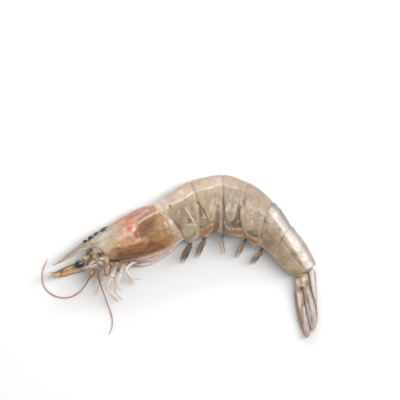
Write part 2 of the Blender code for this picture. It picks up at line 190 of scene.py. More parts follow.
def line(x, y, points, width):
    return np.exp(-(far(x, y, points) / width) ** 2)


def outline(points, rounds=2):
    """A closed outline with its corners cut smooth."""
    p = np.asarray(points, float)
    for _ in range(rounds):
        n = np.roll(p, -1, 0)
        p = np.stack([0.75 * p + 0.25 * n, 0.25 * p + 0.75 * n], 1).reshape(-1, 2)
    return p


def within(x, y, points):
    """Distance to a closed outline on the sheet, positive inside."""
    p = outline(points)
    q = np.roll(p, -1, 0)
    best = np.full(np.shape(x), 1e9)
    odd = np.zeros(np.shape(x), bool)
    for (ax, ay), (bx, by) in zip(p, q):
        vx, vy = bx - ax, by - ay
        t = np.clip(((x - ax) * vx + (y - ay) * vy) / max(vx * vx + vy * vy, 1e-9), 0, 1)
        best = np.minimum(best, np.hypot(x - ax - vx * t, y - ay - vy * t))
        cross = (ay > y) != (by > y)
        at = ax + (y - ay) * vx / np.where(abs(vy) < 1e-12, 1e-12, vy)
        odd ^= cross & (x < at)
    return np.where(odd, best, -best)


class Paint:
    """Colour per point, mixed from broad soft fields (values 0 to 255)."""

    def __init__(self, shape, rgb):
        self.c = np.zeros(tuple(shape) + (3,)) + np.array(rgb, float)

    def mix(self, mask, rgb, share=1.0):
        m = np.clip(mask * share, 0, 1)[..., None]
        self.c = self.c * (1 - m) + np.array(rgb, float) * m
        return self

    def shade(self, amount):
        self.c = self.c * (1 + np.asarray(amount)[..., None])
        return self


def to_linear(c):
    c = np.clip(np.asarray(c, float) / 255, 0, 1)
    return np.where(c <= 0.04045, c / 12.92, ((c + 0.055) / 1.055) ** 2.4)


# ------------------------------------------------------------- meshes
def metres(p):
    p = np.asarray(p, float)
    out = np.empty_like(p)
    out[..., 0] = (p[..., 0] - CENTRE[0]) * SHEET
    out[..., 1] = (CENTRE[1] - p[..., 1]) * SHEET
    out[..., 2] = p[..., 2] * SHEET
    return out


def build(name, points, faces, colours, mat, wet=None):
    """A mesh piece from sheet points, with its painted tint per point."""
    pts = metres(points)
    pts[:, 2] = np.maximum(pts[:, 2], 0.0)
    mesh = bpy.data.meshes.new(name)
    mesh.from_pydata(pts.tolist(), [], faces)
    mesh.validate()
    tint = mesh.color_attributes.new("tint", "FLOAT_COLOR", "POINT")
    rgba = np.ones((len(pts), 4), np.float32)
    rgba[:, :3] = to_linear(colours)
    tint.data.foreach_set("color", rgba.ravel())
    if wet is not None:
        w = mesh.attributes.new("speck", "FLOAT", "POINT")
        w.data.foreach_set("value", np.asarray(wet, np.float32))
    bm = bmesh.new()
    bm.from_mesh(mesh)
    bmesh.ops.recalc_face_normals(bm, faces=bm.faces)
    if bm.calc_volume(signed=True) < 0:
        bmesh.ops.reverse_faces(bm, faces=bm.faces)
    bm.to_mesh(mesh)
    bm.free()
    mesh.shade_smooth()
    obj = bpy.data.objects.new(name, mesh)
    bpy.context.scene.collection.objects.link(obj)
    mesh.materials.append(mat)
    return obj


class Soup:
    """Several closed shells gathered into one piece."""

    def __init__(self):
        self.p, self.f, self.c, self.s, self.n = [], [], [], [], 0

    def put(self, points, faces, colours, speck=None):
        points = np.asarray(points, float).reshape(-1, 3)
        self.p.append(points)
        self.c.append(np.broadcast_to(np.asarray(colours, float).reshape(-1, 3), points.shape))
        self.s.append(np.zeros(len(points)) if speck is None else np.broadcast_to(np.asarray(speck, float).ravel(), (len(points),)))
        self.f += [tuple(i + self.n for i in f) for f in faces]
        self.n += len(points)

    def make(self, name, mat):
        return build(name, np.concatenate(self.p), self.f, np.concatenate(self.c), mat, np.concatenate(self.s))


def tube_faces(rings, sides):
    faces = []
    for i in range(rings - 1):
        for j in range(sides):
            k = (j + 1) % sides
            faces.append((i * sides + j, i * sides + k, (i + 1) * sides + k, (i + 1) * sides + j))
    a, b = rings * sides, rings * sides + 1
    for j in range(sides):
        k = (j + 1) % sides
        faces.append((k, j, a))
        faces.append(((rings - 1) * sides + j, (rings - 1) * sides + k, b))
    return faces


def sweep(path, wide, thick, sides=16, up=(0, 0, 1), round_ends=(1.0, 1.0), twist=None, bumps=None):
    """A closed tapering tube: returns points, faces and, for each point,
    where it is along (0..1) and around (angle, 0 = the wide side)."""
    path = np.asarray(path, float)
    n = len(path)
    d = np.concatenate([[0], np.cumsum(np.linalg.norm(np.diff(path, axis=0), axis=1))])
    length = d[-1]
    along = d / length
    tangent = np.gradient(path, d, axis=0)
    tangent /= np.linalg.norm(tangent, axis=1)[:, None]
    up = np.broadcast_to(np.asarray(up, float), path.shape)
    side = np.cross(tangent, up)
    side /= np.maximum(np.linalg.norm(side, axis=1), 1e-9)[:, None]
    lift = np.cross(side, tangent)
    if twist is not None:
        c, s = np.cos(twist)[:, None], np.sin(twist)[:, None]
        side, lift = side * c + lift * s, lift * c - side * s
    wide = np.broadcast_to(wide, (n,)).astype(float).copy()
    thick = np.broadcast_to(thick, (n,)).astype(float).copy()
    for end, dist in ((0, d), (1, length - d)):
        reach = round_ends[end] * np.minimum(wide, thick)[0 if end == 0 else -1]
        if reach > 0:
            t = np.clip(dist / max(reach, 1e-6), 0, 1)
            f = np.sqrt(np.clip(1 - (1 - t) ** 2, 0.02, 1))
            wide, thick = wide * f, thick * f
    angle = 2 * math.pi * np.arange(sides) / sides
    ca, sa = np.cos(angle), np.sin(angle)
    if bumps is not None:
        extra = 1 + bumps(along[:, None], angle[None, :])
    else:
        extra = 1.0
    pts = (path[:, None, :]
           + side[:, None, :] * (wide[:, None] * ca[None, :] * extra)[..., None]
           + lift[:, None, :] * (thick[:, None] * sa[None, :] * extra)[..., None])
    points = np.concatenate([pts.reshape(-1, 3), path[:1], path[-1:]])
    t = np.concatenate([np.repeat(along, sides), [0, 1]])
    a = np.concatenate([np.tile(angle, n), [0, 0]])
    return points, tube_faces(n, sides), t, a


# ---------------------------------------------------- the body's section
def rib(q):
    peak = 0.46
    q = np.asarray(q, float)
    upper = np.sqrt(np.clip(1 - (np.clip(peak - q, 0, 1) / peak) ** 2.1, 0, 1))
    lower = 1 - 0.30 * (np.clip(q - peak, 0, 1) / (1 - peak)) ** 2.0
    return np.where(q < peak, upper, lower)


NB, NF, NR, NM = 80, 16, 5, 13


def even_places():
    """Places q from the back to the belly, evenly spaced round the section."""
    q = BELLY * np.linspace(0, 1, 6000) ** 2
    arc = np.concatenate([[0], np.cumsum(np.hypot(np.diff(q) * 50.0, np.diff(rib(q)) * 18.0))])
    return np.interp(np.linspace(0, arc[-1], NB + 1), arc, q)


Q_UP = even_places()
Q_OUT = np.concatenate([Q_UP, BELLY + (1 - BELLY) * np.linspace(0, 1, NF + 1)[1:]])
Q_IN = BELLY + (1 - BELLY) * np.linspace(0, 1, NF + 1)[::-1]
HALF = {
    "q": np.concatenate([Q_OUT, np.ones(NR), Q_IN]),
    "kind": np.array([0] * len(Q_OUT) + [1] * NR + [2] * len(Q_IN)),
    "rim": np.concatenate([np.zeros(len(Q_OUT)), (np.arange(NR) + 1) / (NR + 1), np.ones(len(Q_IN))]),
}
N_HALF = len(HALF["q"])
RING_Q = np.concatenate([HALF["q"], np.full(NM, BELLY), HALF["q"][:0:-1]])
RING_KIND = np.concatenate([HALF["kind"], np.full(NM, 3), HALF["kind"][:0:-1]])
RING_RIM = np.concatenate([HALF["rim"], np.linspace(-1, 1, NM + 2)[1:-1], HALF["rim"][:0:-1]])
RING_SIDE = np.concatenate([np.ones(N_HALF), np.zeros(NM), -np.ones(N_HALF - 1)])
RING_SIDE[0] = 0
M = len(RING_Q)
OUTER = (RING_KIND <= 1)


def ring_cap(base):
    """Strips across the animal that close a section."""
    left = list(range(N_HALF))
    right = [0] + [M - i for i in range(1, N_HALF)]
    middle = list(range(N_HALF, N_HALF + NM))
    faces = [(left[0], left[1], right[1])]
    for i in range(1, NB - 1):
        faces.append((left[i], left[i + 1], right[i + 1], right[i]))
    no = NB + NF
    top_in = N_HALF - 1
    faces.append((left[NB - 1], left[NB], left[top_in], *middle, right[top_in], right[NB], right[NB - 1]))
    for s in (left, right):
        for k in range(NF):
            faces.append((s[NB + k], s[NB + k + 1], s[top_in - k - 1], s[top_in - k]))
        faces.append(tuple(s[no + k] for k in range(NR + 2)))
    return [tuple(base + i for i in f) for f in faces]


class Stretch:
    def __init__(self, stations, gap, rolled):
        self.knots = np.arange(len(stations)) * gap
        self.table = np.array(stations, float)
        self.rolled = rolled

    def read(self, u):
        r = spline(self.knots, self.table, u)
        back, edge, half, last = r[:, 0:2], r[:, 2:4], r[:, 4], r[:, 5]
        span = np.linalg.norm(edge - back, axis=1)
        down = (edge - back) / span[:, None]
        along = np.stack([-down[:, 1], down[:, 0]], axis=1)
        flip = np.where(along[:, 0] < 0, -1.0, 1.0)
        if not self.rolled:
            flip = np.where(down[:, 1] * 0 + along[:, 0] < 0, -1.0, 1.0)
        return back, edge, down, along * flip[:, None], half, last, span

    def grid(self, u, raise_by, lobe, thick, mid, shift, roof=None, droop=None):
        """Sheet points of rings at the places u.  raise_by (n, M) lifts the
        outer face, lobe (n) lengthens the side, thick (n) is the thickness of
        the free edge, mid (n) the height of the middle plane and shift (n, M)
        moves points along the animal."""
        back, edge, down, along, half, last, span = self.read(u)
        roll = last if self.rolled else last * 0
        bow = last * 0 if self.rolled else last
        q, side, kind, rim = RING_Q[None], RING_SIDE[None], RING_KIND[None], RING_RIM[None]
        half_, span_, t_ = half[:, None], span[:, None], thick[:, None]
        out_w = half_ * rib(q)
        if roof is not None:
            tent = np.clip(q / 0.50, 0, 1)
            tent = 0.10 + 0.90 * np.sin(tent * math.pi / 2) ** 0.85
            out_w = out_w * (1 - roof[:, None]) + np.minimum(out_w, half_ * tent) * roof[:, None]
        w = np.where(kind == 0, out_w, out_w)
        edge_w = half_ * rib(1.0)
        turn = rim * math.pi
        w = np.where(kind == 1, edge_w - t_ / 2 + t_ / 2 * np.cos(turn), w)
        w = np.where(kind == 2, out_w - t_, w)
        h = q * span_ + lobe[:, None] * q**3
        h = np.where(kind == 1, h + 0.45 * t_ * np.sin(turn), h)
        w = w * side
        inner_top = half_ * rib(BELLY) - t_
        arch = 1 - rim**2
        w = np.where(kind == 3, -rim * inner_top, w)
        h = np.where(kind == 3, h + 1.0 * arch, h)
        # outward normal inside the section
        th = np.roll(h, -1, 1) - np.roll(h, 1, 1)
        tw = np.roll(w, -1, 1) - np.roll(w, 1, 1)
        norm = np.maximum(np.hypot(th, tw), 1e-9)
        nh, nw = -tw / norm, th / norm
        h = h + nh * raise_by
        w = w + nw * raise_by
        qq = np.clip(h / span_, -0.1, 1.2)
        plan = back[:, None, :] + down[:, None, :] * h[..., None]
        push = bow[:, None] * 4 * qq * (1 - qq) + shift
        plan = plan + along[:, None, :] * push[..., None]
        plan = plan - down[:, None, :] * (roll[:, None] * (w / half_) * qq**2)[..., None]
        if droop is not None:
            plan = plan + down[:, None, :] * (droop[:, None] * (side < 0) * np.clip(qq, 0, 1.1) ** 3)[..., None]
        z = mid[:, None] + w
        return np.concatenate([plan, z[..., None]], axis=2)


def ring_faces(n):
    faces = []
    for i in range(n - 1):
        for j in range(M):
            k = (j + 1) % M
            faces.append((i * M + j, (i + 1) * M + j, (i + 1) * M + k, i * M + k))
    return faces + ring_cap(0) + [f[::-1] for f in ring_cap((n - 1) * M)]


HEAD = Stretch(CARAPACE, 1.0, True)
TAIL = Stretch(ABDOMEN, 0.5, False)


# ---------------------------------------------------------- materials
def new_material(name):
    mat = bpy.data.materials.new(name)
    mat.use_nodes = True
    nt = mat.node_tree
    nt.nodes.clear()
    out = nt.nodes.new("ShaderNodeOutputMaterial")
    bsdf = nt.nodes.new("ShaderNodeBsdfPrincipled")
    nt.links.new(bsdf.outputs["BSDF"], out.inputs["Surface"])
    return mat, nt, bsdf


def node(nt, kind, **inputs):
    n = nt.nodes.new(kind)
    for key, value in inputs.items():
        if key.startswith("_"):
            setattr(n, key[1:], value)
        else:
            n.inputs[key.replace("__", " ")].default_value = value
    return n


def ramp(nt, source, stops, interpolation="LINEAR"):
    r = nt.nodes.new("ShaderNodeValToRGB")
    r.color_ramp.interpolation = interpolation
    els = r.color_ramp.elements
    while len(els) < len(stops):
        els.new(0.5)
    for e, (pos, val) in zip(els, stops):
        e.position = pos
        e.color = (val, val, val, 1) if isinstance(val, (int, float)) else (*val, 1)
    nt.links.new(source, r.inputs["Fac"])
    return r.outputs["Color"]


def mix_rgb(nt, mode, fac, a, b):
    m = nt.nodes.new("ShaderNodeMix")
    m.data_type = "RGBA"
    m.blend_type = mode
    m.clamp_result = False
    for socket, value in ((m.inputs[0], fac), (m.inputs[6], a), (m.inputs[7], b)):
        if hasattr(value, "is_output") or isinstance(value, bpy.types.NodeSocket):
            nt.links.new(value, socket)
        elif isinstance(value, (int, float)):
            socket.default_value = value
        else:
            socket.default_value = (*value, 1)
    return m.outputs[2]


def maths(nt, op, a, b=0.5, clamp=False):
    m = nt.nodes.new("ShaderNodeMath")
    m.operation = op
    m.use_clamp = clamp
    for socket, value in ((m.inputs[0], a), (m.inputs[1], b)):
        if isinstance(value, bpy.types.NodeSocket):
            nt.links.new(value, socket)
        else:
            socket.default_value = value
    return m.outputs[0]


MM = 0.001


def wet_shell(name, speck=0.55, mottle=0.16, rough=0.34, coat=0.8, sss=0.18, bump=0.35, grain=1.0, coat_rough=0.09):
    """Wet translucent shell: painted tint, cloudy mottling, fine dark specks
    and pores, with a thin film of water over it."""
    mat, nt, bsdf = new_material(name)
    tint = node(nt, "ShaderNodeVertexColor", _layer_name="tint").outputs["Color"]
    amount = node(nt, "ShaderNodeAttribute", _attribute_name="speck").outputs["Fac"]
    where = node(nt, "ShaderNodeTexCoord").outputs["Object"]

    def noise(scale_mm, detail=4, rough_=0.6, distort=0.0):
        n = node(nt, "ShaderNodeTexNoise", Scale=1 / (scale_mm * MM), Detail=detail, Roughness=rough_, Distortion=distort)
        nt.links.new(where, n.inputs["Vector"])
        return n.outputs["Fac"]

    cloud = noise(3.2, 5, 0.62, 0.4)
    fine = noise(0.75, 4, 0.6)
    colour = mix_rgb(nt, "MULTIPLY", mottle * 2.2, tint, ramp(nt, cloud, [(0.28, 0.72), (0.5, 1.0), (0.72, 1.22)]))
    colour = mix_rgb(nt, "MULTIPLY", mottle * 1.6, colour, ramp(nt, fine, [(0.3, 0.74), (0.52, 1.0), (0.75, 1.2)]))
    # dark star-like specks of two sizes
    for size, share, keep in ((0.62, 1.0, 0.20), (0.34, 0.75, 0.16)):
        v = node(nt, "ShaderNodeTexVoronoi", Scale=1 / (size * grain * MM), Randomness=1.0)
        nt.links.new(where, v.inputs["Vector"])
        blur = maths(nt, "ADD", v.outputs["Distance"], maths(nt, "MULTIPLY", maths(nt, "SUBTRACT", fine, 0.5), 0.32))
        dot = ramp(nt, blur, [(keep * 0.55, 1.0), (keep * 1.5, 0.0)])
        some = ramp(nt, node_colour_value(nt, v.outputs["Color"]), [(0.42, 0.0), (0.55, 1.0)])
        mask = maths(nt, "MULTIPLY", maths(nt, "MULTIPLY", dot, some), maths(nt, "MULTIPLY", amount, speck * share))
        colour = mix_rgb(nt, "MIX", mask, colour, tuple(to_linear((84, 66, 52))))
    nt.links.new(colour, bsdf.inputs["Base Color"])
    r = maths(nt, "ADD", maths(nt, "MULTIPLY", cloud, 0.22), rough - 0.11)
    nt.links.new(r, bsdf.inputs["Roughness"])
    relief = maths(nt, "ADD", maths(nt, "MULTIPLY", fine, 0.5), maths(nt, "MULTIPLY", noise(0.28, 2), 0.25))
    b = node(nt, "ShaderNodeBump", Strength=bump, Distance=0.12 * MM)
    nt.links.new(relief, b.inputs["Height"])
    nt.links.new(b.outputs["Normal"], bsdf.inputs["Normal"])
    b2 = node(nt, "ShaderNodeBump", Strength=bump * 0.45, Distance=0.12 * MM)
    nt.links.new(relief, b2.inputs["Height"])
    nt.links.new(b2.outputs["Normal"], bsdf.inputs["Coat Normal"])
    bsdf.inputs["Specular IOR Level"].default_value = 0.5
    bsdf.inputs["IOR"].default_value = 1.45
    bsdf.inputs["Coat Weight"].default_value = coat
    bsdf.inputs["Coat Roughness"].default_value = coat_rough
    bsdf.inputs["Coat IOR"].default_value = 1.36
    bsdf.inputs["Subsurface Weight"].default_value = sss
    bsdf.inputs["Subsurface Radius"].default_value = (1.0, 0.62, 0.42)
    bsdf.inputs["Subsurface Scale"].default_value = 1.6 * MM
    return mat


def node_colour_value(nt, colour):
    s = nt.nodes.new("ShaderNodeSeparateColor")
    nt.links.new(colour, s.inputs[0])
    return s.outputs[0]


MAT_SHELL = wet_shell("wet_abdomen_shell", speck=0.95, rough=0.38, coat=0.55, coat_rough=0.22)
MAT_HEAD = wet_shell("wet_head_shell", speck=0.55, mottle=0.2, coat_rough=0.14)
MAT_LIMB = wet_shell("wet_limb", speck=0.35, mottle=0.2, rough=0.44, coat=0.35, sss=0.3, bump=0.25, coat_rough=0.14)
MAT_FAN = wet_shell("wet_tail_fan", speck=0.6, mottle=0.16, rough=0.4, coat=0.45, sss=0.25, bump=0.3)
MAT_HORN = wet_shell("horny_plate", speck=0.4, mottle=0.28, rough=0.4, coat=0.5, sss=0.2, bump=0.35)
MAT_THREAD = wet_shell("feeler", speck=0.2, mottle=0.3, rough=0.42, coat=0.3, sss=0.1, bump=0.5)


def eye_material():
    mat, nt, bsdf = new_material("wet_eye")
    tint = node(nt, "ShaderNodeVertexColor", _layer_name="tint").outputs["Color"]
    where = node(nt, "ShaderNodeTexCoord").outputs["Object"]
    v = node(nt, "ShaderNodeTexVoronoi", Scale=1 / (0.16 * MM), Randomness=0.25)
    nt.links.new(where, v.inputs["Vector"])
    n = node(nt, "ShaderNodeTexNoise", Scale=1 / (0.9 * MM), Detail=3.0)
    nt.links.new(where, n.inputs["Vector"])
    colour = mix_rgb(nt, "MULTIPLY", 0.6, tint, ramp(nt, n.outputs["Fac"], [(0.3, 0.6), (0.7, 1.4)]))
    nt.links.new(colour, bsdf.inputs["Base Color"])
    b = node(nt, "ShaderNodeBump", Strength=0.18, Distance=0.05 * MM)
    nt.links.new(v.outputs["Distance"], b.inputs["Height"])
    nt.links.new(b.outputs["Normal"], bsdf.inputs["Normal"])
    bsdf.inputs["Roughness"].default_value = 0.22
    bsdf.inputs["Coat Weight"].default_value = 1.0
    bsdf.inputs["Coat Roughness"].default_value = 0.05
    return mat


MAT_EYE = eye_material()


def place(obj, slot, *nodes):
    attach(obj, "root")
    if nodes:
        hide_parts(*nodes)
    return obj


# ==================================================================
# Abdomen
# ==================================================================
HINGES = [(170.0, 206.0), (197.0, 202.5), (221.0, 199.5), (243.0, 201.5), (264.0, 218.0), (281.0, 238.0)]


# raised lobes of the flank: outline on the sheet, height, tint, tint share
LOBE_A = ((202.5, 193), (203.4, 203), (205.2, 211), (208.0, 218.4), (211.0, 222.4), (213.6, 219.6), (215.4, 212), (216.2, 203), (216.2, 193))
LOBE_B = ((223.4, 193), (223.4, 203), (225.0, 212), (227.6, 219.6), (230.4, 222.6), (233.6, 220), (236.4, 212.6), (238.4, 203), (238.6, 193))
LOBE_C = ((183.0, 229), (187.4, 223.6), (193.0, 223.0), (197.2, 228), (199.0, 234), (195.0, 239.4), (188.6, 240.6), (183.6, 236.6))
FLAP_A = ((198.8, 229.4), (203.6, 226.8), (209.0, 225.4), (212.8, 222.8), (213.4, 227.4), (211.4, 232.4), (207.0, 236.6), (202.0, 241.0), (198.4, 240.0))
FLAP_B = ((230.4, 229.8), (235.4, 228.6), (240.6, 228.8), (245.0, 230.0), (246.0, 234.4), (243.0, 236.4), (237.0, 236.6), (231.6, 234.6))
PATCH_A = ((198.8, 217.6), (205.8, 217.0), (206.8, 222.0), (205.4, 226.4), (199.6, 227.4))
PATCH_B = ((230.6, 222.0), (236.4, 218.6), (241.4, 220.6), (243.2, 226.4), (238.0, 228.2), (231.6, 228.0))
PLATE_D = ((244.0, 196), (242.4, 208), (242.4, 218), (244.0, 226), (247.4, 234.5), (252.6, 238.4), (262, 239.6), (266, 220), (262, 196))
# a raised ridge line along the back, which is also painted with a highlight
HIGHLIGHT_RIDGE_LINE = ((170.5, 204.2), (177, 202.2), (185, 198), (190, 194.4), (196, 191.4), (203, 189.2), (211, 187.6), (218, 184.9), (224, 184.9), (230, 186.5), (237, 188.4))
SUNK, LIP, LAP = 0.62, 0.40, 1.7


def abdomen():
    base = ((166, 143, 115), (158, 136, 109), (150, 128, 106), (178, 155, 129), (176, 154, 129), (172, 152, 128))
    for seg in range(6):
        rows = 76 if seg < 5 else 96
        t0 = np.linspace(0, 1, rows)
        t0 = t0 - 0.11 * np.sin(2 * math.pi * t0) / (2 * math.pi)
        # front: the cap lies at the seam; rear: a thin lip runs on over the next one
        t = np.concatenate([t0, [1.0] * 6]) if seg < 5 else np.concatenate([t0, [1.0] * 3])
        n = len(t)
        u = seg + t
        back, edge, down, along, half, last, span = TAIL.read(u)
        q = np.broadcast_to(RING_Q, (n, M))
        kind = np.broadcast_to(RING_KIND, (n, M))
        skin = kind <= 1
        swap = step(0.44, 0.54, q)
        length = {0: 36, 1: 34, 2: 28, 3: 32, 4: 30, 5: 48}[seg] * (1 - 0.62 * q) + 1.0
        if seg == 5:
            length = 48 * (1 - 0.35 * q)
        tt = t[:, None]
        ahead = tt * length
        behind = (1 - tt) * length
        under = 1 - step(1.9, 4.6, ahead)
        lift = -SUNK * under
        shift = np.where(tt < 0.5, 0.22 * (1 - tt * 2), 0.0) * np.ones((n, M))
        shift = shift - LAP * (tt if seg == 0 else (1 - tt) if seg == 5 else 1.0)
        reach = np.zeros((n, M))
        if seg == 3:          # here the lower front edge lies on top
            lift = lift * (1 - swap) + swap * 0.25 * (1 - step(0.0, 3.0, ahead))
        if seg == 2:          # and the rear edge before it is covered
            lift = lift - swap * SUNK * (1 - step(1.9, 4.6, behind))
        if seg < 5:
            lip = (1 - swap) if seg == 2 else np.ones((n, M))
            k = np.arange(n) - (rows - 1)
            for i, (go, sink) in enumerate(((0.6, 0.0), (0.97, -0.04), (1.0, -0.16), (0.97, -LIP + 0.05), (0.55, -LIP), (0.0, -LIP)), start=1):
                row = k == i
                reach[row] = LAP * go
                lift = np.where(row[:, None], (lift + sink) * lip + (1 - lip) * lift, lift)
            shift = shift + reach * lip * skin
        else:
            k = np.arange(n) - (rows - 1)
            for i, (go, sink) in enumerate(((0.35, -0.12), (0.5, -0.5), (0.0, -0.9)), start=1):
                row = k == i
                shift = shift + np.where(row[:, None], go, 0.0) * skin
                lift = np.where(row[:, None], sink, lift)
        if seg == 3:          # the front lip over the third segment
            head_rows = 5
            add = np.zeros((n, M))
            for i, (go, sink) in enumerate(((0.0, -LIP), (0.8, -LIP), (1.0, -0.30), (1.0, -0.08), (0.5, 0.0))):
                add[i] = -LAP * go * 0.8
                lift[i] = lift[i] * (1 - swap[i]) + swap[i] * (sink + 0.25)
            keep = t[:head_rows].copy()
            u[:head_rows] = seg + keep * 0.02
            shift = shift + add * swap * skin
        if seg < 5:
            lift = lift + 0.16 * np.exp(-((behind - 0.4) / 1.2) ** 2) * (1 - swap * (seg == 2))
        lift = lift * OUTER[None]
        mid = half - 0.22
        lobe_t = np.sin(math.pi * np.clip(t, 0, 1)) ** 0.7
        lobe = LOBES[seg] * lobe_t
        thick = np.full(n, SHELL)
        flat = TAIL.grid(u, lift, lobe, thick, mid, shift)
        x, y, z = flat[..., 0], flat[..., 1], flat[..., 2]
        edge_fade = step(0.0, 3.2, ahead) * step(-0.4, 1.6, behind)
        if seg == 3:
            edge_fade = edge_fade * (1 - swap) + swap * step(-0.4, 1.6, behind)

        # ------------------------------------------------------------ relief
        flank = step(0.30, 0.46, q) * (1 - step(0.93, 1.0, q))
        feel = 0.34 * fbm(flat, 9, 3, 11 + seg) + 0.17 * fbm(flat, 3.4, 2, 41) + 0.07 * fbm(flat, 1.7, 2, 43)
        folds = np.sin((x * 0.92 + y * 0.12) / 7.2 * 2 * math.pi + 2.4 * fbm(flat, 14, 2, 7))
        feel = feel + {0: 0.16, 1: 0.15, 2: 0.12, 3: 0.10, 4: 0.12, 5: 0.0}[seg] * folds * flank
        side_z = np.abs(z - mid[:, None])
        keel = {0: 0.0, 1: 0.0, 2: 0.1, 3: 0.45, 4: 0.8, 5: 0.9}[seg]
        feel = feel + keel * np.exp(-(side_z / 1.3) ** 2) * (q < 0.3) * step(1.0, 5.0, ahead)
        wave = far(x, y, HIGHLIGHT_RIDGE_LINE)
        feel = feel + 0.32 * np.exp(-(wave / 1.5) ** 2) * (q > 0.03)
        masks = {}

        def plate(name, points, height, soft=0.9):
            d = within(x, y, points)
            masks[name] = points
            return height * step(-soft, soft, d)

        if seg == 0:
            feel = feel + plate("c", LOBE_C, 0.55, 1.6)
            feel = feel + 0.6 * np.exp(-(far(x, y, [(185, 208), (189.4, 215), (193, 221), (195.6, 226)]) / 0.9) ** 2)
            feel = feel - 0.5 * oval(x, y, 190, 219.5, 2.6, 4.4, -25, 0.8)
            feel = feel - 0.35 * oval(x, y, 178, 222, 4, 9, 15, 0.9)
        if seg == 1:
            feel = feel + plate("a", LOBE_A, 0.95, 0.9) * step(201, 213, y)
            feel = feel + plate("fa", FLAP_A, 0.75, 0.8)
            feel = feel + plate("pa", PATCH_A, 0.4, 0.9)
            feel = feel - 0.7 * line(x, y, [(217.6, 208), (218, 220), (217.4, 232)], 1.8)
            feel = feel + 0.4 * line(x, y, [(222, 221), (219.6, 227), (218, 232)], 0.7)
            feel = feel - 0.5 * line(x, y, [(198.4, 204), (202, 210), (206, 216.6)], 1.0)
        if seg == 2:
            feel = feel + plate("b", LOBE_B, 0.95, 0.9) * step(201, 213, y)
            feel = feel + plate("fb", FLAP_B, 0.75, 0.7)
            feel = feel - plate("pb", PATCH_B, 0.22, 1.8)
            feel = feel + 0.45 * line(x, y, [(223.8, 221), (226, 227), (229.6, 229.8)], 0.8)
            feel = feel - 0.6 * line(x, y, [(240.2, 207), (239.6, 214), (238.4, 219)], 1.5)
            feel = feel + 0.3 * line(x, y, [(232.6, 189), (233.6, 197), (234.4, 206)], 0.7)
        if seg == 3:
            feel = feel + 0.5 * oval(x, y, 252, 219, 8, 12, 0, 0.7)
            feel = feel - 0.55 * line(x, y, [(247.6, 233), (253, 236.6), (260, 237.8)], 1.5)
        if seg == 4:
            feel = feel - 0.45 * line(x, y, [(266.4, 234), (270.6, 240), (272.6, 248)], 1.5)
        if seg == 5:
            feel = feel - 0.35 * np.exp(-(far(x, y, [(283, 241), (293, 256), (301, 266)]) / 1.2) ** 2)
            feel = feel + 0.35 * oval(x, y, 284, 253, 7, 9, 38, 0.9)
        for hx, hy in HINGES:
            feel = feel - (0.8 if hx in (197.0, 264.0, 281.0) else 0.3) * np.exp(-((x - hx) ** 2 + (y - hy) ** 2) / 1.8)
            feel = feel + 0.4 * np.exp(-((x - hx - 2.0) ** 2 + (y - hy - 0.8) ** 2) / 3.0)
        lift = lift + feel * OUTER[None] * edge_fade
        pts = TAIL.grid(u, lift, lobe, thick, mid, shift)

        # ------------------------------------------------------------ tint
        x, y, z = pts[..., 0], pts[..., 1], pts[..., 2]
        wx, wy = x + 0.9 * fbm(pts, 4, 2, 81), y + 0.9 * fbm(pts, 4, 2, 82)
        paint = Paint(x.shape, base[seg])
        big, small = fbm(pts, 15, 3, 3), fbm(pts, 5, 3, 5)
        # the flank is clouded: olive grey hollows, beige swells
        paint.mix(step(-0.15, 0.45, fbm(pts, 7, 3, 91)) * (q > 0.2), (138, 118, 94), 0.42)
        paint.mix(step(-0.10, 0.45, fbm(pts, 9, 3, 92)), (192, 170, 144), 0.35)
        # painted light: the upper flank is painted lighter and the lower flank darker, as the light falls from above
        high = 1 - step(0.16, 0.52, q + 0.04 * small)
        paint.mix(high, (190, 168, 142), 0.75)
        lower_flank_shade = step(0.52, 0.80, q + 0.05 * small) * (1 - step(0.9, 1.0, q))
        paint.mix(lower_flank_shade, (144, 120, 98), {0: 0.25, 1: 0.45, 2: 0.5, 3: 0.15, 4: 0.3, 5: 0.2}[seg])
        top_end = {0: 0.20, 1: 0.19, 2: 0.17, 3: 0.16, 4: 0.17, 5: 0.20}[seg]
        ridge = 1 - step(top_end - 0.05, top_end + 0.05, q + 0.02 * small)
        paint.mix(ridge, (214, 193, 175) if seg == 2 else (208, 186, 167), {0: 0.85, 1: 0.95, 2: 0.95, 3: 0.85, 4: 0.7, 5: 0.55}[seg])
        paint.mix(ridge * step(0.0, 0.5, fbm(pts, 12, 2, 93)), (218, 196, 180), 0.5)
        paint.mix(np.exp(-((q - 0.015) / 0.04) ** 2), (184, 148, 118), 0.5)
        # painted highlight: a pale line along the raised ridge of the back
        paint.mix(np.exp(-(wave / 0.95) ** 2) * (0.7 + 0.3 * small), (246, 236, 226), 0.85)

        def tinted(points, rgb, share, soft=0.9, rim=None, rim_highlight_share=0.6, rim_highlight_at=0.7, fade=None):
            d = within(wx, wy, points)
            low = step(fade, fade + 9, wy) if fade else 1.0
            paint.mix(step(-soft, soft, d) * low, rgb, share)
            # rim paints a pale line just inside the raised outline: a painted highlight on the lobe's edge
            if rim is not None:
                wob = 0.6 + 0.4 * step(-0.4, 0.4, fbm(pts, 4, 2, 97))
                paint.mix(np.exp(-((within(x, y, points) - rim_highlight_at) / 0.75) ** 2) * wob * (step(fade + 4, fade + 16, wy) if fade else 1.0), rim, rim_highlight_share)

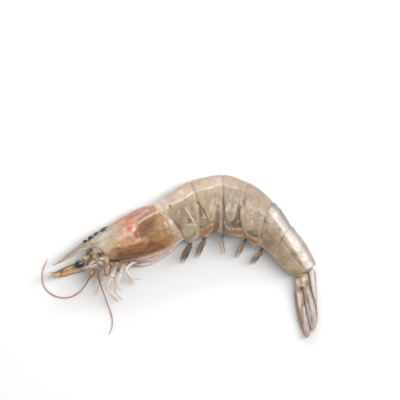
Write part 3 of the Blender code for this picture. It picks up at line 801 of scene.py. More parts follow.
        if seg == 0:
            paint.mix(oval(wx, wy, 162.5, 205, 6, 7.5, -25, 0.5), (226, 204, 190), 0.9)
            paint.mix(line(wx, wy, [(161, 212), (168, 224), (176, 236)], 3.2), (200, 180, 156), 0.75)
            paint.mix(oval(wx, wy, 180, 216, 9, 9, 0, 0.8), (146, 126, 100), 0.6)
            paint.mix(oval(wx, wy, 178.6, 227, 3.2, 5.0, -10, 0.7), (112, 92, 76), 0.75)
            paint.mix(oval(wx, wy, 190, 222.6, 2.6, 5.0, -35, 0.6), (112, 96, 74), 0.8)
            paint.mix(oval(wx, wy, 182, 235.6, 6.4, 5, 30, 0.7), (182, 162, 144), 0.85)
            tinted(LOBE_C, (164, 148, 127), 0.8, 1.4, (204, 186, 164), 0.45)
            paint.mix(oval(wx, wy, 192, 213, 4, 4.6, 20, 0.7), (168, 150, 136), 0.7)
            paint.mix(line(x, y, [(185, 208), (189.4, 215), (193, 221), (195.6, 226)], 0.7), (212, 192, 164), 0.85)
            paint.mix(line(x, y, [(187.6, 224), (190, 228), (192, 232)], 0.9), (208, 194, 172), 0.6)
        if seg == 1:
            # painted shade in the groove beside the raised lobe
            paint.mix(oval(wx, wy, 201.4, 211, 2.6, 7.0, -22, 0.5), (116, 98, 74), 0.8)
            tinted(PATCH_A, (164, 148, 126), 0.8, 1.0)
            # painted shade in the groove beside the raised lobe
            paint.mix(line(wx, wy, [(218.2, 212), (218, 220), (217.4, 233)], 2.0) * step(206, 217, wy), (112, 94, 84), 0.85)
            paint.mix(oval(wx, wy, 220.6, 223, 1.9, 10, 4, 0.6), (112, 92, 78), 0.8)
            paint.mix(oval(wx, wy, 214.6, 229, 2.2, 7, 10, 0.6), (112, 94, 78), 0.7)
            tinted(LOBE_A, (184, 162, 132), 0.75, 1.0, (220, 202, 172), 0.8, fade=200)
            paint.mix(oval(wx, wy, 210.4, 209, 2.4, 7.5, 0, 0.7), (158, 136, 110), 0.5)
            tinted(FLAP_A, (152, 112, 84), 0.92, 0.8, (204, 176, 150), 0.7, 1.0)
            paint.mix(line(wx, wy, [(200, 227.6), (205, 226.2), (209.6, 224.6)], 0.8), (108, 78, 58), 0.6)
            paint.mix(line(x, y, [(222, 221), (219.6, 227), (218, 232)], 0.6), (186, 164, 140), 0.7)
            paint.mix(oval(wx, wy, 202, 238.6, 3.0, 2.4, 0, 0.6), (96, 78, 64), 0.6)
        if seg == 2:
            paint.mix(oval(wx, wy, 222.6, 224, 2.6, 8.5, 0, 0.6), (106, 86, 72), 0.85)
            # painted shade in the groove beside the raised lobe
            paint.mix(line(wx, wy, [(239.6, 208), (239.4, 214), (238.0, 221)], 2.4) * step(204, 214, wy), (124, 108, 98), 0.8)
            tinted(LOBE_B, (188, 168, 138), 0.8, 1.0, (224, 206, 178), 0.8, fade=200)
            paint.mix(oval(wx, wy, 231.4, 209, 2.8, 7.0, 0, 0.7), (160, 140, 114), 0.5)
            tinted(PATCH_B, (118, 98, 80), 0.92, 1.4)
            paint.mix(line(wx, wy, [(239.8, 223.6), (242.0, 226.0), (244.2, 226.6)], 1.0), (72, 52, 38), 0.8)
            tinted(FLAP_B, (154, 114, 86), 0.92, 0.8)
            paint.mix(line(x, y, [(231.4, 233.6), (235.0, 235.4), (240.0, 235.9), (244.0, 235.2)], 0.9), (206, 178, 150), 0.85)
            paint.mix(line(x, y, [(223.8, 221), (226, 227), (229.6, 229.8)], 0.8), (196, 176, 152), 0.8)
            paint.mix(line(x, y, [(232.6, 189), (233.6, 197), (234.4, 206)], 0.6), (214, 196, 170), 0.6)
            paint.mix(line(x, y, [(222.6, 197), (223.2, 203), (225, 209)], 0.6), (106, 86, 68), 0.7)
        if seg == 0:
            paint.mix(line(x, y, [(188, 238.4), (192, 236.4), (196, 233), (198.4, 229)], 1.5), (126, 108, 88), 0.7)
        if seg == 3:
            paint.mix(oval(wx, wy, 250, 222, 5.0, 8.5, 0, 0.6), (202, 178, 146), 0.8)
            paint.mix(oval(wx, wy, 258, 218, 6.0, 9, 0, 0.8), (176, 152, 126), 0.5)
            paint.mix(line(wx, wy, [(246.4, 232.6), (251.6, 235.6), (258.6, 236.4)], 2.2), (122, 102, 84), 0.92)
            paint.mix(oval(wx, wy, 254, 231.6, 4.4, 2.0, 0, 0.7), (130, 110, 90), 0.6)
            paint.mix(line(wx, wy, [(248.4, 238.4), (253.4, 241.6), (260.6, 243.6)], 2.3), (146, 102, 68), 0.95)
            paint.mix(line(x, y, [(243.6, 203), (242.8, 212), (243.4, 221), (245.4, 230), (247.6, 235.6)], 0.9), (206, 184, 156), 0.65)
        if seg == 4:
            paint.mix(oval(wx, wy, 268, 241, 5.0, 8, -20, 0.7), (154, 122, 96), 0.8)
            paint.mix(oval(wx, wy, 268, 236.6, 4.0, 3.4, 0, 0.8), (188, 158, 130), 0.7)
            paint.mix(line(x, y, [(260.6, 240), (260.2, 244.4)], 1.4), (214, 194, 172), 0.7)
            paint.mix(oval(wx, wy, 271, 226, 4, 8, -30, 0.8), (184, 164, 140), 0.5)
        if seg == 5:
            paint.mix(oval(wx, wy, 281, 260, 8, 4.5, 42, 0.8), (142, 120, 94), 0.6)
            paint.mix(oval(wx, wy, 295, 274, 5, 2.6, 30, 0.7), (142, 120, 88), 0.5)
            paint.mix(oval(wx, wy, 278, 249, 4, 5, 30, 0.8), (146, 118, 94), 0.5)
            dots = line(x, y, [(284, 242), (289, 249.5), (293, 256), (297.5, 261.5), (301.5, 267)], 0.8)
            beads = step(-0.2, 0.6, np.sin((x + y) / 2.9 * 2 * math.pi / 1.6 + 2 * small))
            paint.mix(dots * beads, (104, 84, 68), 0.6)
        if seg >= 4:
            # painted highlight: a pale band down the last two segments, where the strip light by the tail reflects
            highlight_band_dist = far(x + 0.4 * (wx - x), y + 0.4 * (wy - y), [(269, 208), (274, 212), (280, 220), (287, 230), (294, 241.6), (301, 253), (308.4, 265)])
            paint.mix((1 - step(2.6, 5.4, highlight_band_dist)) * (0.9 + 0.1 * small), (246, 241, 238) if seg == 4 else (224, 218, 215), 0.9)
            paint.mix((1 - step(0.05, 0.14, q)), (158, 148, 142), 0.8)
        for i, (hx, hy) in enumerate(HINGES):
            weak = 0.45 if i in (0, 2, 3) else 0.9
            paint.mix(np.exp(-((x - hx) ** 2 + (y - hy) ** 2) / 1.7), (70, 54, 42), weak)
            paint.mix(np.exp(-((x - hx - 0.6) ** 2 / 0.9 + (y - hy - 2.6) ** 2 / 5.0)), (104, 84, 66), 0.6 * weak)
        # the front of each segment, sunk under the lip of the one before, gets painted shade; the rear rim paler
        lip_tint = np.exp(-((behind + 0.0) / 1.3) ** 2) * (1 - swap * (seg == 2))
        paint.mix(lip_tint * step(0.12, 0.3, q) * (seg < 5), (198, 178, 152), 0.45)
        shade_under_lip = (1 - step(0.6, 3.0, ahead)) * ((1 - swap) if seg == 3 else 1.0)
        paint.mix(shade_under_lip, (132, 108, 88), 0.5 if seg else 0.2)
        paint.mix((kind == 1) * 1.0, (178, 152, 124), 0.5)
        paint.mix((kind == 2) * 1.0, (160, 132, 108), 0.85)
        paint.mix((kind == 3) * 1.0, (186, 158, 134), 0.9)
        grain = fbm(pts, 1.5, 2, 95)
        paint.shade(np.full(x.shape, (0.0, -0.02, -0.08, -0.11, -0.10, 0.02)[seg]))
        paint.shade(-0.05 * ridge)
        paint.shade(0.085 * big + 0.075 * small + 0.05 * grain)
        speck = np.clip(step(0.08, 0.3, q) * 0.8 + 0.2 + 0.6 * big, 0, 1)
        speck = np.where(kind == 3, 0.15, speck)
        obj = build(f"shell_abdomen_{seg + 1}", pts.reshape(-1, 3), ring_faces(n), paint.c.reshape(-1, 3), MAT_SHELL, speck.ravel())
        place(obj, "abdomen_shell", f"abdomen_{seg + 1}")


# ==================================================================
# Carapace and rostrum
# ==================================================================
FRONT_GREY = ((92, 239), (99, 231), (110, 225), (118, 226), (118, 235), (113, 244), (106, 251), (99, 249), (95, 244))
PEACH = ((111, 227), (121, 220), (133, 217.5), (138, 225), (133, 236), (126, 243), (117, 246.5), (109, 244), (112, 235))
SADDLE = ((130, 217), (138, 211), (148, 206), (157.5, 203), (160.5, 210), (152, 213.6), (144.4, 218.4), (138.4, 223.4), (133, 222))
MAUVE = ((137.6, 224.6), (144.4, 219.4), (152.4, 215.4), (158, 214), (154.4, 221), (151.0, 228), (149.8, 236), (143.4, 239), (137, 238), (133.6, 234.6), (134.8, 229))
GOLD = ((152.6, 221), (158.4, 213.6), (164.6, 215.6), (170.4, 226), (174.6, 236), (173.0, 243.6), (165, 247.4), (156, 247.4), (150.4, 243), (151.4, 232))
BROWN = ((115, 252.6), (125, 247.4), (138, 243.4), (150, 240.4), (160, 243.6), (167.4, 246.6), (159, 252.6), (145, 256.0), (130, 258.4), (115, 260.6))
CREAM = ((160.0, 204), (167.6, 209), (173.4, 217), (178.4, 228), (186, 239), (181, 246), (174.6, 244.6), (173.6, 233), (168.6, 221.6), (163.6, 213.6), (158.6, 209.6))
TAN = ((122.6, 243.4), (130, 238.4), (138, 238.6), (146, 240.0), (140, 243.4), (128, 247.0))


def carapace():
    last = len(CARAPACE) - 1
    rows = 170
    u0 = np.linspace(0, last, rows)
    # extra rings at the front: a rounded margin and a shallow recess; at the
    # rear a thin lip over the first ring of the abdomen
    front_extra = ((0.0, -1.9, 2.2), (0.0, -1.5, 0.6), (0.0, -0.7, -0.15), (0.0, -0.25, -0.2))
    rear_extra = ((0.6, 0.0), (0.97, -0.04), (1.0, -0.16), (0.97, -0.36), (0.55, -0.40), (0.0, -0.40))
    nf, nr = len(front_extra), len(rear_extra)
    u = np.concatenate([np.zeros(nf), u0, np.full(nr, float(last))])
    n = len(u)
    half = HEAD.read(u)[4]
    mid = np.where(u > 3.5, HEAD_MID + (half - 0.22 - HEAD_MID) * (u - 3.5) / (last - 3.5), HEAD_MID)
    q = np.broadcast_to(RING_Q, (n, M))
    kind = np.broadcast_to(RING_KIND, (n, M))
    skin = kind <= 1
    lift = np.zeros((n, M))
    shift = np.zeros((n, M))
    for i, (_, d, s) in enumerate(front_extra):
        lift[i] = d * np.where(RING_KIND == 0, 1.0, np.where(RING_KIND == 1, 0.5, 0.35))
        shift[i] = s
    for i, (go, sink) in enumerate(rear_extra):
        row = nf + rows + i
        lift[row] = sink * skin[row]
        shift[row] = 2.1 * go * skin[row]
    behind = (last - u)[:, None] * (15.5 * (1 - 0.1 * q))
    lift = lift + 0.16 * np.exp(-((behind - 1.0) / 1.4) ** 2) * skin * (np.arange(n)[:, None] < nf + rows)
    lobe = np.zeros(n)
    thick = np.full(n, SHELL)
    roof = 1 - step(0.6, 3.0, u)
    droop = 3.0 * np.exp(-((u - 3.0) / 1.5) ** 2)
    flat = HEAD.grid(u, lift, lobe, thick, mid, shift, roof, droop)
    x, y, z = flat[..., 0], flat[..., 1], flat[..., 2]
    feel = 0.36 * fbm(flat, 11, 3, 21) + 0.20 * fbm(flat, 4.2, 2, 23) + 0.08 * fbm(flat, 1.8, 2, 24)
    upper = (q < 0.95)
    # grooves and ridges of the side
    feel = feel - 0.8 * line(x, y, [(119, 248.5), (126, 243), (132, 237), (136, 229), (140, 224)], 1.6) * upper
    feel = feel + 0.7 * line(x, y, [(138.6, 223), (144, 218.8), (151, 215), (158.6, 211.6)], 1.3) * upper
    feel = feel - 0.5 * step(-3.0, 3.0, within(x, y, MAUVE))
    feel = feel + 0.8 * step(-2.5, 3.0, within(x, y, GOLD))
    feel = feel - 0.6 * line(x, y, [(119, 248.5), (113, 252), (108.5, 257)], 1.3) * upper
    feel = feel + 1.2 * np.exp(-((x - 118.5) ** 2 + (y - 246.4) ** 2) / 3.0)
    feel = feel - 0.6 * line(x, y, [(158.5, 213.5), (164.5, 219), (168.6, 227), (171.8, 236), (173.8, 243)], 1.2)
    feel = feel + 0.35 * line(x, y, [(112, 244.6), (120, 241), (128, 236)], 0.9)
    feel = feel - 0.4 * line(x, y, [(118, 231), (124, 227.4), (128, 222)], 1.2)
    side_z = np.abs(z - mid[:, None])
    crest = 1 - step(2.4, 5.0, u)[:, None]
    feel = feel - 0.55 * np.exp(-((side_z - 3.4) / 1.1) ** 2) * (q < 0.35) * crest
    feel = feel + 0.9 * np.exp(-(side_z / 1.6) ** 2) * (q < 0.35) * (1 - step(3.8, 5.2, u)[:, None])
    feel = feel + 0.22 * np.exp(-((q - 0.96) / 0.016) ** 2)
    wav = np.sin((x * 0.55 + y * 0.83) * 1.15 + 3.4 * fbm(flat, 9, 2, 5))
    feel = feel + 0.16 * wav * step(-3, 3, within(x, y, BROWN)) + 0.03 * wav * step(-3, 3, within(x, y, GOLD))
    edge_fade = step(0.0, 0.25, u)[:, None] * step(0.0, 1.6, behind)
    lift = lift + feel * OUTER[None] * edge_fade
    pts = HEAD.grid(u, lift, lobe, thick, mid, shift, roof, droop)

    x, y, z = pts[..., 0], pts[..., 1], pts[..., 2]
    big, small = fbm(pts, 13, 3, 33), fbm(pts, 4.5, 3, 35)
    wx, wy = x + 2.4 * fbm(pts, 7, 3, 51), y + 2.4 * fbm(pts, 7, 3, 52)
    paint = Paint(x.shape, (180, 142, 104))
    kind0 = np.broadcast_to(RING_KIND, x.shape)

    def field(points, rgb, share, soft=1.6):
        paint.mix(step(-soft, soft, within(wx, wy, points)), rgb, share)

    def stroke(points, width, rgb, share, crisp=False):
        paint.mix(line(x, y, points, width) if crisp else line(wx, wy, points, width), rgb, share)

    paint.mix(1 - step(104, 120, wx), (192, 175, 154), 0.95)
    field(PEACH, (222, 182, 156), 0.95, 2.6)
    field(FRONT_GREY, (196, 182, 162), 0.9, 2.6)
    stroke([(100, 238), (108, 233), (116, 229)], 2.0, (212, 200, 180), 0.5)
    field(TAN, (198, 150, 114), 0.9, 1.6)
    field(GOLD, (158, 117, 76), 0.98, 3.0)
    field(MAUVE, (142, 97, 70), 0.97, 3.0)
    field(BROWN, (130, 84, 44), 0.97, 2.8)
    field(SADDLE, (188, 134, 114), 0.95, 1.8)
    paint.mix((1 - step(0.10, 0.34, q + 0.06 * big)) * step(106, 134, wx) * (kind0 <= 1), (158, 122, 99), 0.75)
    # streaks inside the fields
    paint.mix(oval(wx, wy, 147.4, 225.4, 5, 5.4, -30, 0.9), (122, 80, 58), 0.5)
    paint.mix(oval(wx, wy, 142, 233.6, 5, 3.4, -10, 0.9), (140, 96, 76), 0.4)
    stroke([(157.6, 219), (160, 226), (160.6, 233)], 2.0, (186, 142, 94), 0.65)
    stroke([(163, 234), (168, 238), (171.4, 239)], 1.5, (182, 136, 84), 0.6)
    stroke([(155, 238), (162, 241.6), (168, 242.6)], 1.3, (152, 104, 58), 0.7)
    paint.mix(oval(wx, wy, 151.4, 243.4, 3.0, 2.0, 0, 0.7), (112, 72, 40), 0.7)
    paint.mix(oval(wx, wy, 150.0, 238.2, 3.8, 2.6, 0, 0.7), (122, 82, 54), 0.6)
    paint.mix(oval(wx, wy, 168, 230, 2.4, 4.4, -12, 0.7), (168, 116, 66), 0.5)
    stroke([(118, 256.6), (130, 254.6), (142, 252), (152, 249)], 1.4, (108, 68, 38), 0.65)
    stroke([(122, 251), (134, 248), (146, 245)], 1.1, (170, 118, 74), 0.6)
    stroke([(126, 254.0), (140, 250.6), (154, 247.6), (164, 248.4)], 0.9, (160, 108, 64), 0.5)
    stroke([(116, 250.6), (124, 247), (134, 244)], 1.0, (118, 76, 44), 0.55)
    paint.mix(oval(wx, wy, 120, 243, 4.6, 1.8, -25, 0.8), (204, 144, 108), 0.7)
    paint.mix(oval(wx, wy, 127, 240, 4.6, 1.6, -30, 0.8), (186, 134, 106), 0.6)
    paint.mix(oval(wx, wy, 132.6, 229.4, 2.4, 4.6, 10, 0.8), (206, 176, 162), 0.55)
    paint.mix(oval(wx, wy, 123.6, 232, 4, 3.4, 0, 0.8), (222, 192, 166), 0.5)
    # red along the back and on the cheek
    stroke([(117, 223.4), (122, 220.2), (127, 217.4)], 1.7, (196, 132, 84), 0.8)
    stroke([(127, 217.8), (132.6, 214.4), (138, 211.4)], 1.8, (172, 96, 70), 0.8)
    stroke([(138, 211.2), (145, 207.8), (152, 205.6)], 1.4, (170, 116, 84), 0.75)
    stroke([(128.6, 222.4), (130.4, 226), (129.8, 230.6)], 1.9, (214, 116, 90), 0.8)
    stroke([(126.4, 225.4), (129, 222), (133, 219.4)], 1.3, (224, 138, 112), 0.7)
    stroke([(120.4, 222.4), (124, 221)], 1.4, (220, 166, 124), 0.6)
    stroke([(135, 218.6), (142, 213.8), (150, 210)], 1.5, (226, 182, 168), 0.6)
    # painted highlight: a thin pale line along the raised ridge
    stroke([(138.6, 223), (144, 218.8), (151, 215), (158.6, 211.6)], 0.9, (236, 208, 190), 0.8, True)
    stroke([(137.6, 226), (136.4, 230), (138.4, 234)], 1.2, (210, 172, 150), 0.5)
    thin_back = np.exp(-((z - mid[:, None]) / 2.8) ** 2)
    for near in ([(94.6, 234.4), (98.0, 232.2), (100.6, 230.7)], [(101.8, 230.0), (105.4, 227.9), (108.4, 226.1)]):
        paint.mix(line(x, y, near, 1.15) * thin_back, (34, 25, 20), 0.95)
    stroke([(96, 238), (104, 232.4), (112, 227.6)], 0.9, (150, 136, 126), 0.6)
    stroke([(94, 241), (102, 235.6), (110, 231)], 0.8, (214, 204, 188), 0.5)
    # cream along the rear margin
    field(CREAM, (168, 143, 116), 0.95, 2.8)
    paint.mix(oval(x, y, 170.6, 223, 5.0, 10, -24, 0.8), (146, 122, 97), 0.8)
    rear_x = 1 - step(1.5, 8.5, behind + 1.2 * small)
    paint.mix(rear_x * (q < 0.97), (186, 162, 136), 0.75)
    paint.mix(oval(x, y, 160, 206.0, 5, 4, 20, 0.7), (228, 206, 192), 0.8)
    # front margin, corner bar, dark lower edge
    paint.mix(oval(x, y, 112.6, 245.6, 5.4, 1.6, -28, 0.8), (222, 178, 120), 0.75)
    paint.mix(step(0.66, 0.74, q) * (1 - step(0.16, 0.26, u)[:, None]) * (q < 0.985), (204, 164, 132), 0.9)
    paint.mix(step(0.44, 0.5, q) * (1 - step(0.66, 0.72, q)) * (1 - step(0.1, 0.25, u)[:, None]), (150, 132, 108), 0.6)
    paint.mix(oval(x, y, 112.4, 255.6, 5.4, 5.2, -20, 0.8), (160, 116, 86), 0.8)
    paint.mix(oval(x, y, 107.4, 249.4, 4.8, 2.4, -10, 0.8), (206, 166, 148), 0.7)
    paint.mix(oval(x, y, 101.0, 254.2, 3.9, 2.3, 8, 0.8), (62, 52, 24), 0.95)
    stroke([(107.2, 253.6), (107.6, 262)], 1.1, (186, 136, 90), 0.95, True)
    kind = np.broadcast_to(RING_KIND, x.shape)
    side = np.broadcast_to(RING_SIDE, x.shape)
    low = np.exp(-((q - 0.995) / 0.024) ** 2) * (kind <= 1)
    paint.mix(np.exp(-((q - 0.972) / 0.032) ** 2) * (kind <= 1) * (1 - step(126, 138, x)), (84, 50, 28), 0.9)
    paint.mix(low * (1 - step(132, 142, x)), (84, 52, 32), 0.92)
    paint.mix(step(0.935, 0.965, q) * (kind <= 1) * step(134, 146, x), (160, 132, 118), 0.85)
    paint.mix(low * step(134, 144, x), (214, 194, 180), 0.75)
    paint.mix(line(x, y, [(121, 261.4), (129, 260.4), (137, 258.8), (142, 257.4)], 1.1) * (kind <= 1), (178, 156, 154), 0.8)
    paint.mix(line(x, y, [(109.6, 260.6), (118, 259.2), (128, 258.0), (137, 256.6)], 0.8) * (kind <= 1), (82, 50, 32), 0.85)
    paint.mix((kind == 2) * 1.0, (250, 240, 234), 1.0)
    paint.mix((kind == 2) * step(0.3, 0.9, fbm(pts, 6, 2, 68) + 0.5), (214, 188, 180), 0.4)
    paint.mix((kind == 2) * (side > 0), (176, 140, 116), 0.7)
    paint.mix((kind == 3) * 1.0, (150, 118, 98), 0.95)
    paint.shade(0.07 * big + 0.09 * small + 0.05 * fbm(pts, 1.6, 2, 39))
    streak = np.sin((x * 0.42 + y * 0.9) * 1.1 + 4 * fbm(pts, 10, 2, 61)) * oval(x, y, 142, 240, 30, 16, -18, 0.8)
    paint.shade(0.06 * streak * (kind == 0))
    speck = np.clip(0.25 + 0.75 * (1 - step(100, 124, x)) + 0.7 * rear_x + 0.25 * big, 0, 1)
    speck = np.where(kind >= 2, 0.1, speck)
    obj = build("shell_carapace", pts.reshape(-1, 3), ring_faces(n), paint.c.reshape(-1, 3), MAT_HEAD, speck.ravel())
    place(obj, "head_shell", "carapace")


TEETH = (66.0, 70.6, 75.0, 79.6, 84.0, 88.8, 94.4, 101.4, 109.2)
BARS = (3.4, 4.5, 5.7, 7.0)


def rostrum():
    n = 320
    # back x, y / keel x, y / share of the shell's own thickness / scale
    pairs = [(114, 224.0, 0, 117, 236.0, 1, 0.80), (104, 229.6, 0, 109, 243.0, 1, 0.88), (98, 233.2, 0, 104.4, 248.6, 1, 0.94), (93.4, 236.2, 0, 99.8, 250.2, 1, 0.975),
             (89.2, 239.1, 0, 95.2, 251.0, 0.66, 0.97), (85.2, 241.9, 0, 90.2, 250.6, 0.34, 0.96), (80, 245.7, 0, 83.6, 251.2, 0.07, 0.95), (70, 253.4, 0, 71.4, 257.4, 0, 0.95),
             (60, 260.4, 0, 60.8, 262.8, 0, 0.95), (53, 265.2, 0, 53.3, 265.9, 0, 0.95)]
    run = smooth(pairs, n)
    top, low = run[:, 0:3], run[:, 3:5]
    share = np.clip(run[:, 5], 0, 1)
    scale = run[:, 6]
    t = np.clip((134 - top[:, 0]) / 81.0, 0, 1)
    tooth = np.zeros(n)
    for tip in TEETH:
        d = top[:, 0] - tip
        height = 1.1 if tip < 82 else 1.5
        tooth = np.maximum(tooth, np.where(d >= 0, height * np.clip(1 - d / 6.6, 0, 1), height * np.clip(1 + d / 0.8, 0, 1)))
    back = np.stack([-0.50 * tooth, -0.72 * tooth], axis=1)
    top_xy = top[:, :2] + back
    sides = 44
    thick = 0.35 + 2.3 * (1 - t) ** 0.8
    pts = np.zeros((n, sides, 3))
    vv = np.zeros((n, sides))
    for j in range(sides):
        a = 2 * math.pi * j / sides
        v = 0.5 - 0.5 * math.cos(a)           # 0 at the crest, 1 at the keel
        lens = abs(math.sin(a)) ** 0.8 * (0.22 + 1.15 * v - 0.35 * v * v)
        sign = 1 if math.sin(a) >= 0 else -1
        ridge = 0.30 * math.exp(-((v - 0.55) / 0.09) ** 2) - 0.22 * math.exp(-((v - 0.36) / 0.08) ** 2)
        thin = thick * (lens + ridge * (abs(math.sin(a)) > 0.1))
        close = math.sqrt(max(0.0, 1 - max(0.0, (v - 0.88) / 0.12) ** 2))
        wide = 10.4 * (0.10 * min(1.0, abs(math.sin(a)) * 4) + 0.90 * math.sin(v * math.pi / 2) ** 0.85) * close
        pts[:, j, 0] = top_xy[:, 0] * (1 - v) + low[:, 0] * v
        pts[:, j, 1] = top_xy[:, 1] * (1 - v) + low[:, 1] * v
        pts[:, j, 2] = HEAD_MID + sign * (thin * (1 - share) + wide * share * scale)
        vv[:, j] = v
    feel = 0.22 * fbm(pts, 4, 3, 72)
    pts[..., 2] += feel * np.sign(pts[..., 2] - HEAD_MID) * share[:, None] * (np.abs(pts[..., 2] - HEAD_MID) > 0.5)
    x, y = pts[..., 0], pts[..., 1]
    v = vv
    blade_part = 1 - step(0.15, 0.7, share)[:, None]
    paint = Paint((n, sides), (188, 172, 158))
    paint.mix(step(0.44, 0.62, v), (222, 204, 192), 0.85)
    paint.mix(np.exp(-((v - 0.36) / 0.07) ** 2) * (0.35 + 0.65 * blade_part), (134, 112, 98), 0.75)
    paint.mix(np.exp(-((v - 0.66) / 0.06) ** 2) * (1 - step(72, 84, x)), (156, 122, 102), 0.6)
    paint.mix(np.exp(-((v - 0.9) / 0.07) ** 2) * blade_part, (176, 150, 134), 0.6)
    paint.mix(step(0.3, 0.9, share)[:, None] * step(0.12, 0.3, v), (190, 176, 158), 0.85)
    paint.mix(line(x, y, [(88, 244), (95, 241.4), (101, 238)], 1.1), (214, 200, 182), 0.5)
    paint.mix(line(x, y, [(88, 246.8), (94, 244.6), (100, 242)], 0.8), (150, 132, 118), 0.5)
    dark = np.zeros(x.shape)
    for tip, run_on in zip(TEETH[4:-1], BARS):
        dark = np.maximum(dark, step(-0.6, 0.1, x - tip) * (1 - step(run_on - 0.5, run_on + 0.3, x - tip)))
    close_by = 1 - step(2.4, 3.6, np.abs(pts[..., 2] - HEAD_MID))
    paint.mix((1 - step(0.13, 0.21, v - 0.05 * (x > 93))) * dark * (1 - step(109.4, 111.0, x)) * close_by, (30, 22, 18), 0.95)
    paint.mix((1 - step(0.06, 0.16, v)) * (x < 104) * close_by, (84, 66, 54), 0.7)
    paint.mix((1 - step(0.0, 0.14, v)) * (x > 110), (130, 98, 76), 0.5)
    paint.mix(oval(x, y, 94.6, 248.4, 4.2, 1.7, -12, 0.8), (138, 124, 114), 0.7)
    paint.mix(oval(x, y, 89.8, 249.2, 2.6, 1.3, -12, 0.8), (96, 80, 84), 0.75)
    paint.mix(oval(x, y, 86.2, 249.8, 2.2, 1.0, -20, 0.7), (222, 198, 150), 0.7)
    paint.mix(oval(x, y, 99.6, 247.4, 2.8, 1.8, 10, 0.8), (204, 192, 174), 0.6)
    paint.shade(0.10 * fbm(pts, 4, 3, 71) - 0.08 * (1 - share)[:, None])
    points = np.concatenate([pts.reshape(-1, 3), pts[:1].mean(1), pts[-1:].mean(1)])
    colours = np.concatenate([paint.c.reshape(-1, 3), paint.c[:1, 0], paint.c[-1:, 0]])
    speck = np.concatenate([np.broadcast_to(0.25 + 0.6 * share[:, None], (n, sides)).ravel(), [0.3, 0.3]])
    obj = build("rostrum", points, tube_faces(n, sides), colours, MAT_HEAD, speck)
    place(obj, "head_shell", "carapace")
    # the hind teeth stand on the crest as thin dark fins
    soup = Soup()
    order = np.argsort(top[:, 0])
    for tip, run_on in zip(TEETH[4:-1], BARS):
        along = np.linspace(tip - 0.5, tip + run_on, 26)
        crest = np.interp(along, top[order, 0], top[order, 1])
        rise = np.interp(along, (along[0], along[0] + 1.3, along[-1]), (1.0, 0.85, 0.15))
        path = np.stack([along - 0.5 * rise, crest - 0.86 * rise, np.full(26, HEAD_MID)], axis=1)
        wide = np.interp(np.linspace(0, 1, 26), (0, 0.12, 0.6, 1), (0.5, 1.05, 1.3, 0.6))
        q, f, tt, a = sweep(path, wide, wide * 0.6, 12)
        soup.put(q, f, (34, 26, 22), 0.1)
    place(soup.make("rostrum_teeth", MAT_HORN), "head_shell", "carapace")


